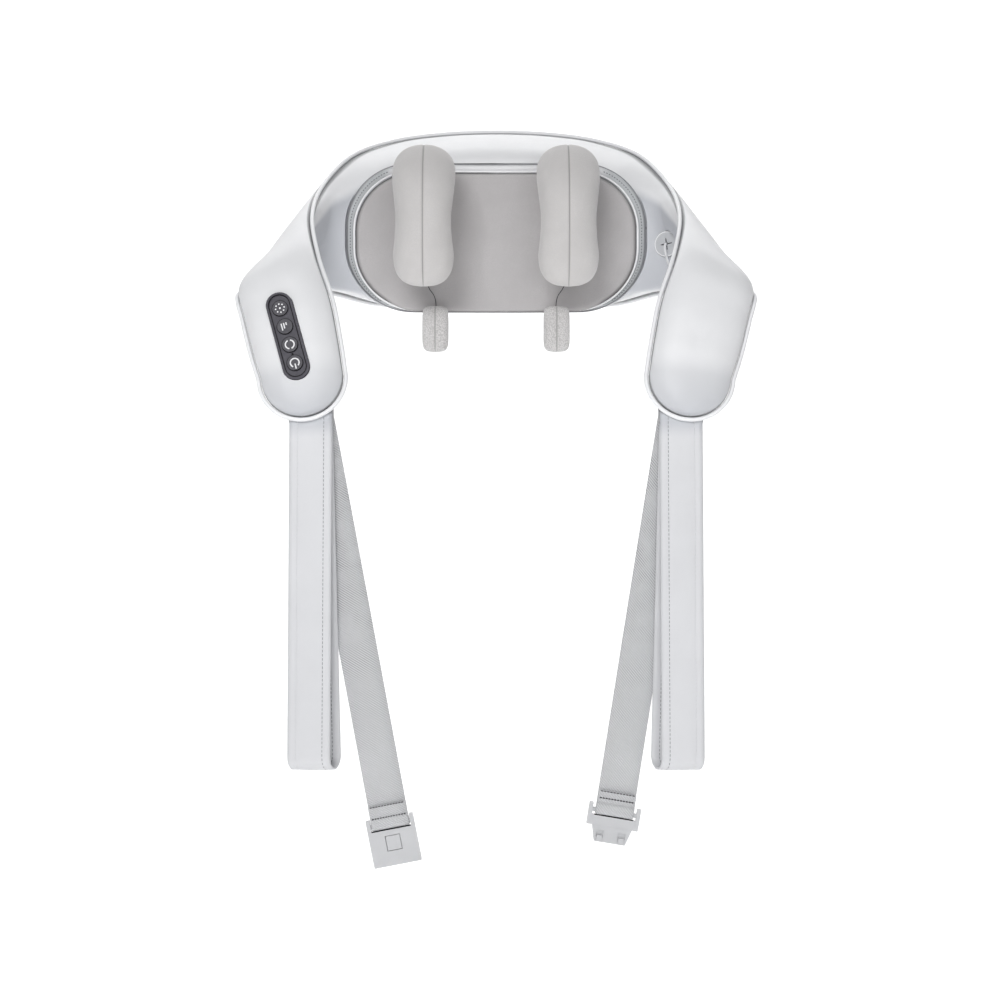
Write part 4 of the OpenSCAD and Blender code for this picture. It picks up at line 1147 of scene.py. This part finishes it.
# Dark rows across the fold round each buckle's bar, thick stitching that is also painted shadow at the
# fold's end and at its step: name, height over the bar, thread radius and pitch.
FOLD_ROWS = {
    "left": [("end_stitches_and_shadow", 14.4, 0.4, 2.2), ("bar_stitches_and_shadow", 5.6, 0.6, 2.0)],
    "right": [("end_stitches_and_shadow", 14.4, 0.35, 2.4), ("bar_stitches_and_shadow", 9.4, 0.5, 2.2)],
}


def turned(a, b, angle):
    """The pair turned by an angle, from its first direction to its second."""
    return a * math.cos(angle) - b * math.sin(angle), a * math.sin(angle) + b * math.cos(angle)


def on_webbing(side, splay, x, y, z):
    """From the webbing's own frame, Z up along it, to the model's frame."""
    y, z = turned(y, z, WEBBING_LEAN)
    x, z = turned(x, z, -splay)
    return (ANCHOR + np.array([x, y, z]) + WEBBING_OUT) * (side, 1, 1)


def webbing_line(length):
    """Down the strap's middle line, round the buckle's bar and up the front to its sewn end, as (y, z),
    and the number of the point where it folds."""
    bar_y, bar_z, radius = -0.4, -length, 2.5
    down = [(0.75 + 0.7 * math.sin((6 - z) / 95), z) for z in np.linspace(6, -length + 6, 70)]
    down.append((1.0, -length + 3))
    turn = [(bar_y + radius * math.cos(a), bar_z + radius * math.sin(a))
            for a in np.linspace(0, -math.pi, 13)]
    proud, sunk = bar_y - radius, -1.6
    up = [(mix(proud, sunk, smoothstep((z - 4.6) / 1.2)), bar_z + z)
          for z in np.linspace(0.6, FOLD_END, 26)]
    return down + turn + up, len(down) + len(turn) // 2


def webbing(side, word):
    """A webbing strap sewn in at the wing's end and folded round its buckle's bar."""
    length, splay = WEBBING_LENGTH[word], WEBBING_SPLAY[word]
    side_line, fold = webbing_line(length)
    line = np.array([on_webbing(side, splay, WEBBING_SHIFT * (1 + min(0, z) / length), y, z)
                     for y, z in side_line])
    across = side * (on_webbing(side, splay, 1, 0, 0) - on_webbing(side, splay, 0, 0, 0))
    section = strap_section(WEBBING_W, 0.05, None)
    band = strap(f"{word}_webbing_strap", line, section, WEBBING_T, TWILL, across, fold=fold)
    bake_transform(band)
    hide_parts(f"{word}_webbing")
    for row_name, height, radius, pitch in FOLD_ROWS[word]:
        sewn = [on_webbing(side, splay, x, -2.5, -length + height) for x in np.linspace(-12.8, 12.8, 8)]
        row = stitches(f"{word}_webbing_{row_name}", sewn, (0, 0, 1), DARK_LINE, pitch * 0.8, pitch, radius)
        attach(row, f"{word}_strap")
    # A black line just below the fold round the bar: painted shade in the gap between the webbing and the
    # buckle.
    gap_line = [on_webbing(side, splay, x, -1.9, -length - 3.5) for x in np.linspace(-14.5, 14.5, 4)]
    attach(swept(f"{word}_bar_gap_shade", gap_line, circle(0.5, 8), BLACK_LENS_AND_SHADE), f"{word}_buckle")


for side, word in SIDES:
    hand_loop(side, word)
    webbing(side, word)

# ---- Stage ---------------------------------------------------------------------------------------
def backdrop():
    """A pale floor that curves up behind the object."""
    floor_z, bend_y, bend = -640, 900, 500
    curve = [(bend_y + bend * math.sin(a), floor_z + bend - bend * math.cos(a))
             for a in np.linspace(0, math.pi / 2, 24)]
    profile = [(-4000, floor_z)] + curve + [(bend_y + bend, 3000)]
    verts = [(x, y, z) for x in (-5000, 5000) for y, z in profile]
    n = len(profile)
    s = Shader("stage_paper")
    s.set(Roughness=0.9, Specular_IOR_Level=0.0, Emission_Strength=0.22, Emission_Color=(1, 1, 1, 1))
    s.color(s.blend(s.noise(3, 2), (0.93, 0.93, 0.93), (0.95, 0.95, 0.95)))
    return mesh_piece("stage_paper", verts, grid_faces(2, n), s.material)


def area_light(name, place, target, size, power):
    data = bpy.data.lights.new(name, "AREA")
    data.shape = "RECTANGLE"
    data.size, data.size_y = size
    data.energy = power
    obj = bpy.data.objects.new(name, data)
    obj.location = place
    obj.rotation_euler = (Vector(target) - Vector(place)).to_track_quat("-Z", "Y").to_euler()
    bpy.context.scene.collection.objects.link(obj)


backdrop()
area_light("key", (-0.55, -2.0, 0.75), (0, 0, -0.15), (0.9, 0.9), 24)
area_light("fill", (0.5, -2.2, 0.1), (0, 0, -0.2), (1.2, 1.2), 11)
area_light("backdrop_wash", (0, 0.75, 1.5), (0, 1.4, -0.2), (3.0, 0.6), 30)

world = bpy.data.worlds.new("soft_studio")
world.use_nodes = True
world.node_tree.nodes["Background"].inputs["Color"].default_value = (0.94, 0.96, 1, 1)
world.node_tree.nodes["Background"].inputs["Strength"].default_value = 0.08
scene = bpy.context.scene
scene.world = world
scene.view_settings.view_transform = "Standard"

CAMERA_DISTANCE, CAMERA_HEIGHT = 1400.0, -205.0
FOCAL_LENGTH = 63.508     # millimetres, on a sensor 36 mm wide
camera_data = bpy.data.cameras.new("camera")
camera_data.sensor_width = 36
camera_data.lens = FOCAL_LENGTH
camera = bpy.data.objects.new("camera", camera_data)
camera.location = (0, -CAMERA_DISTANCE * MM, CAMERA_HEIGHT * MM)
camera.rotation_euler = (math.radians(90), 0, 0)
scene.collection.objects.link(camera)
scene.camera = camera
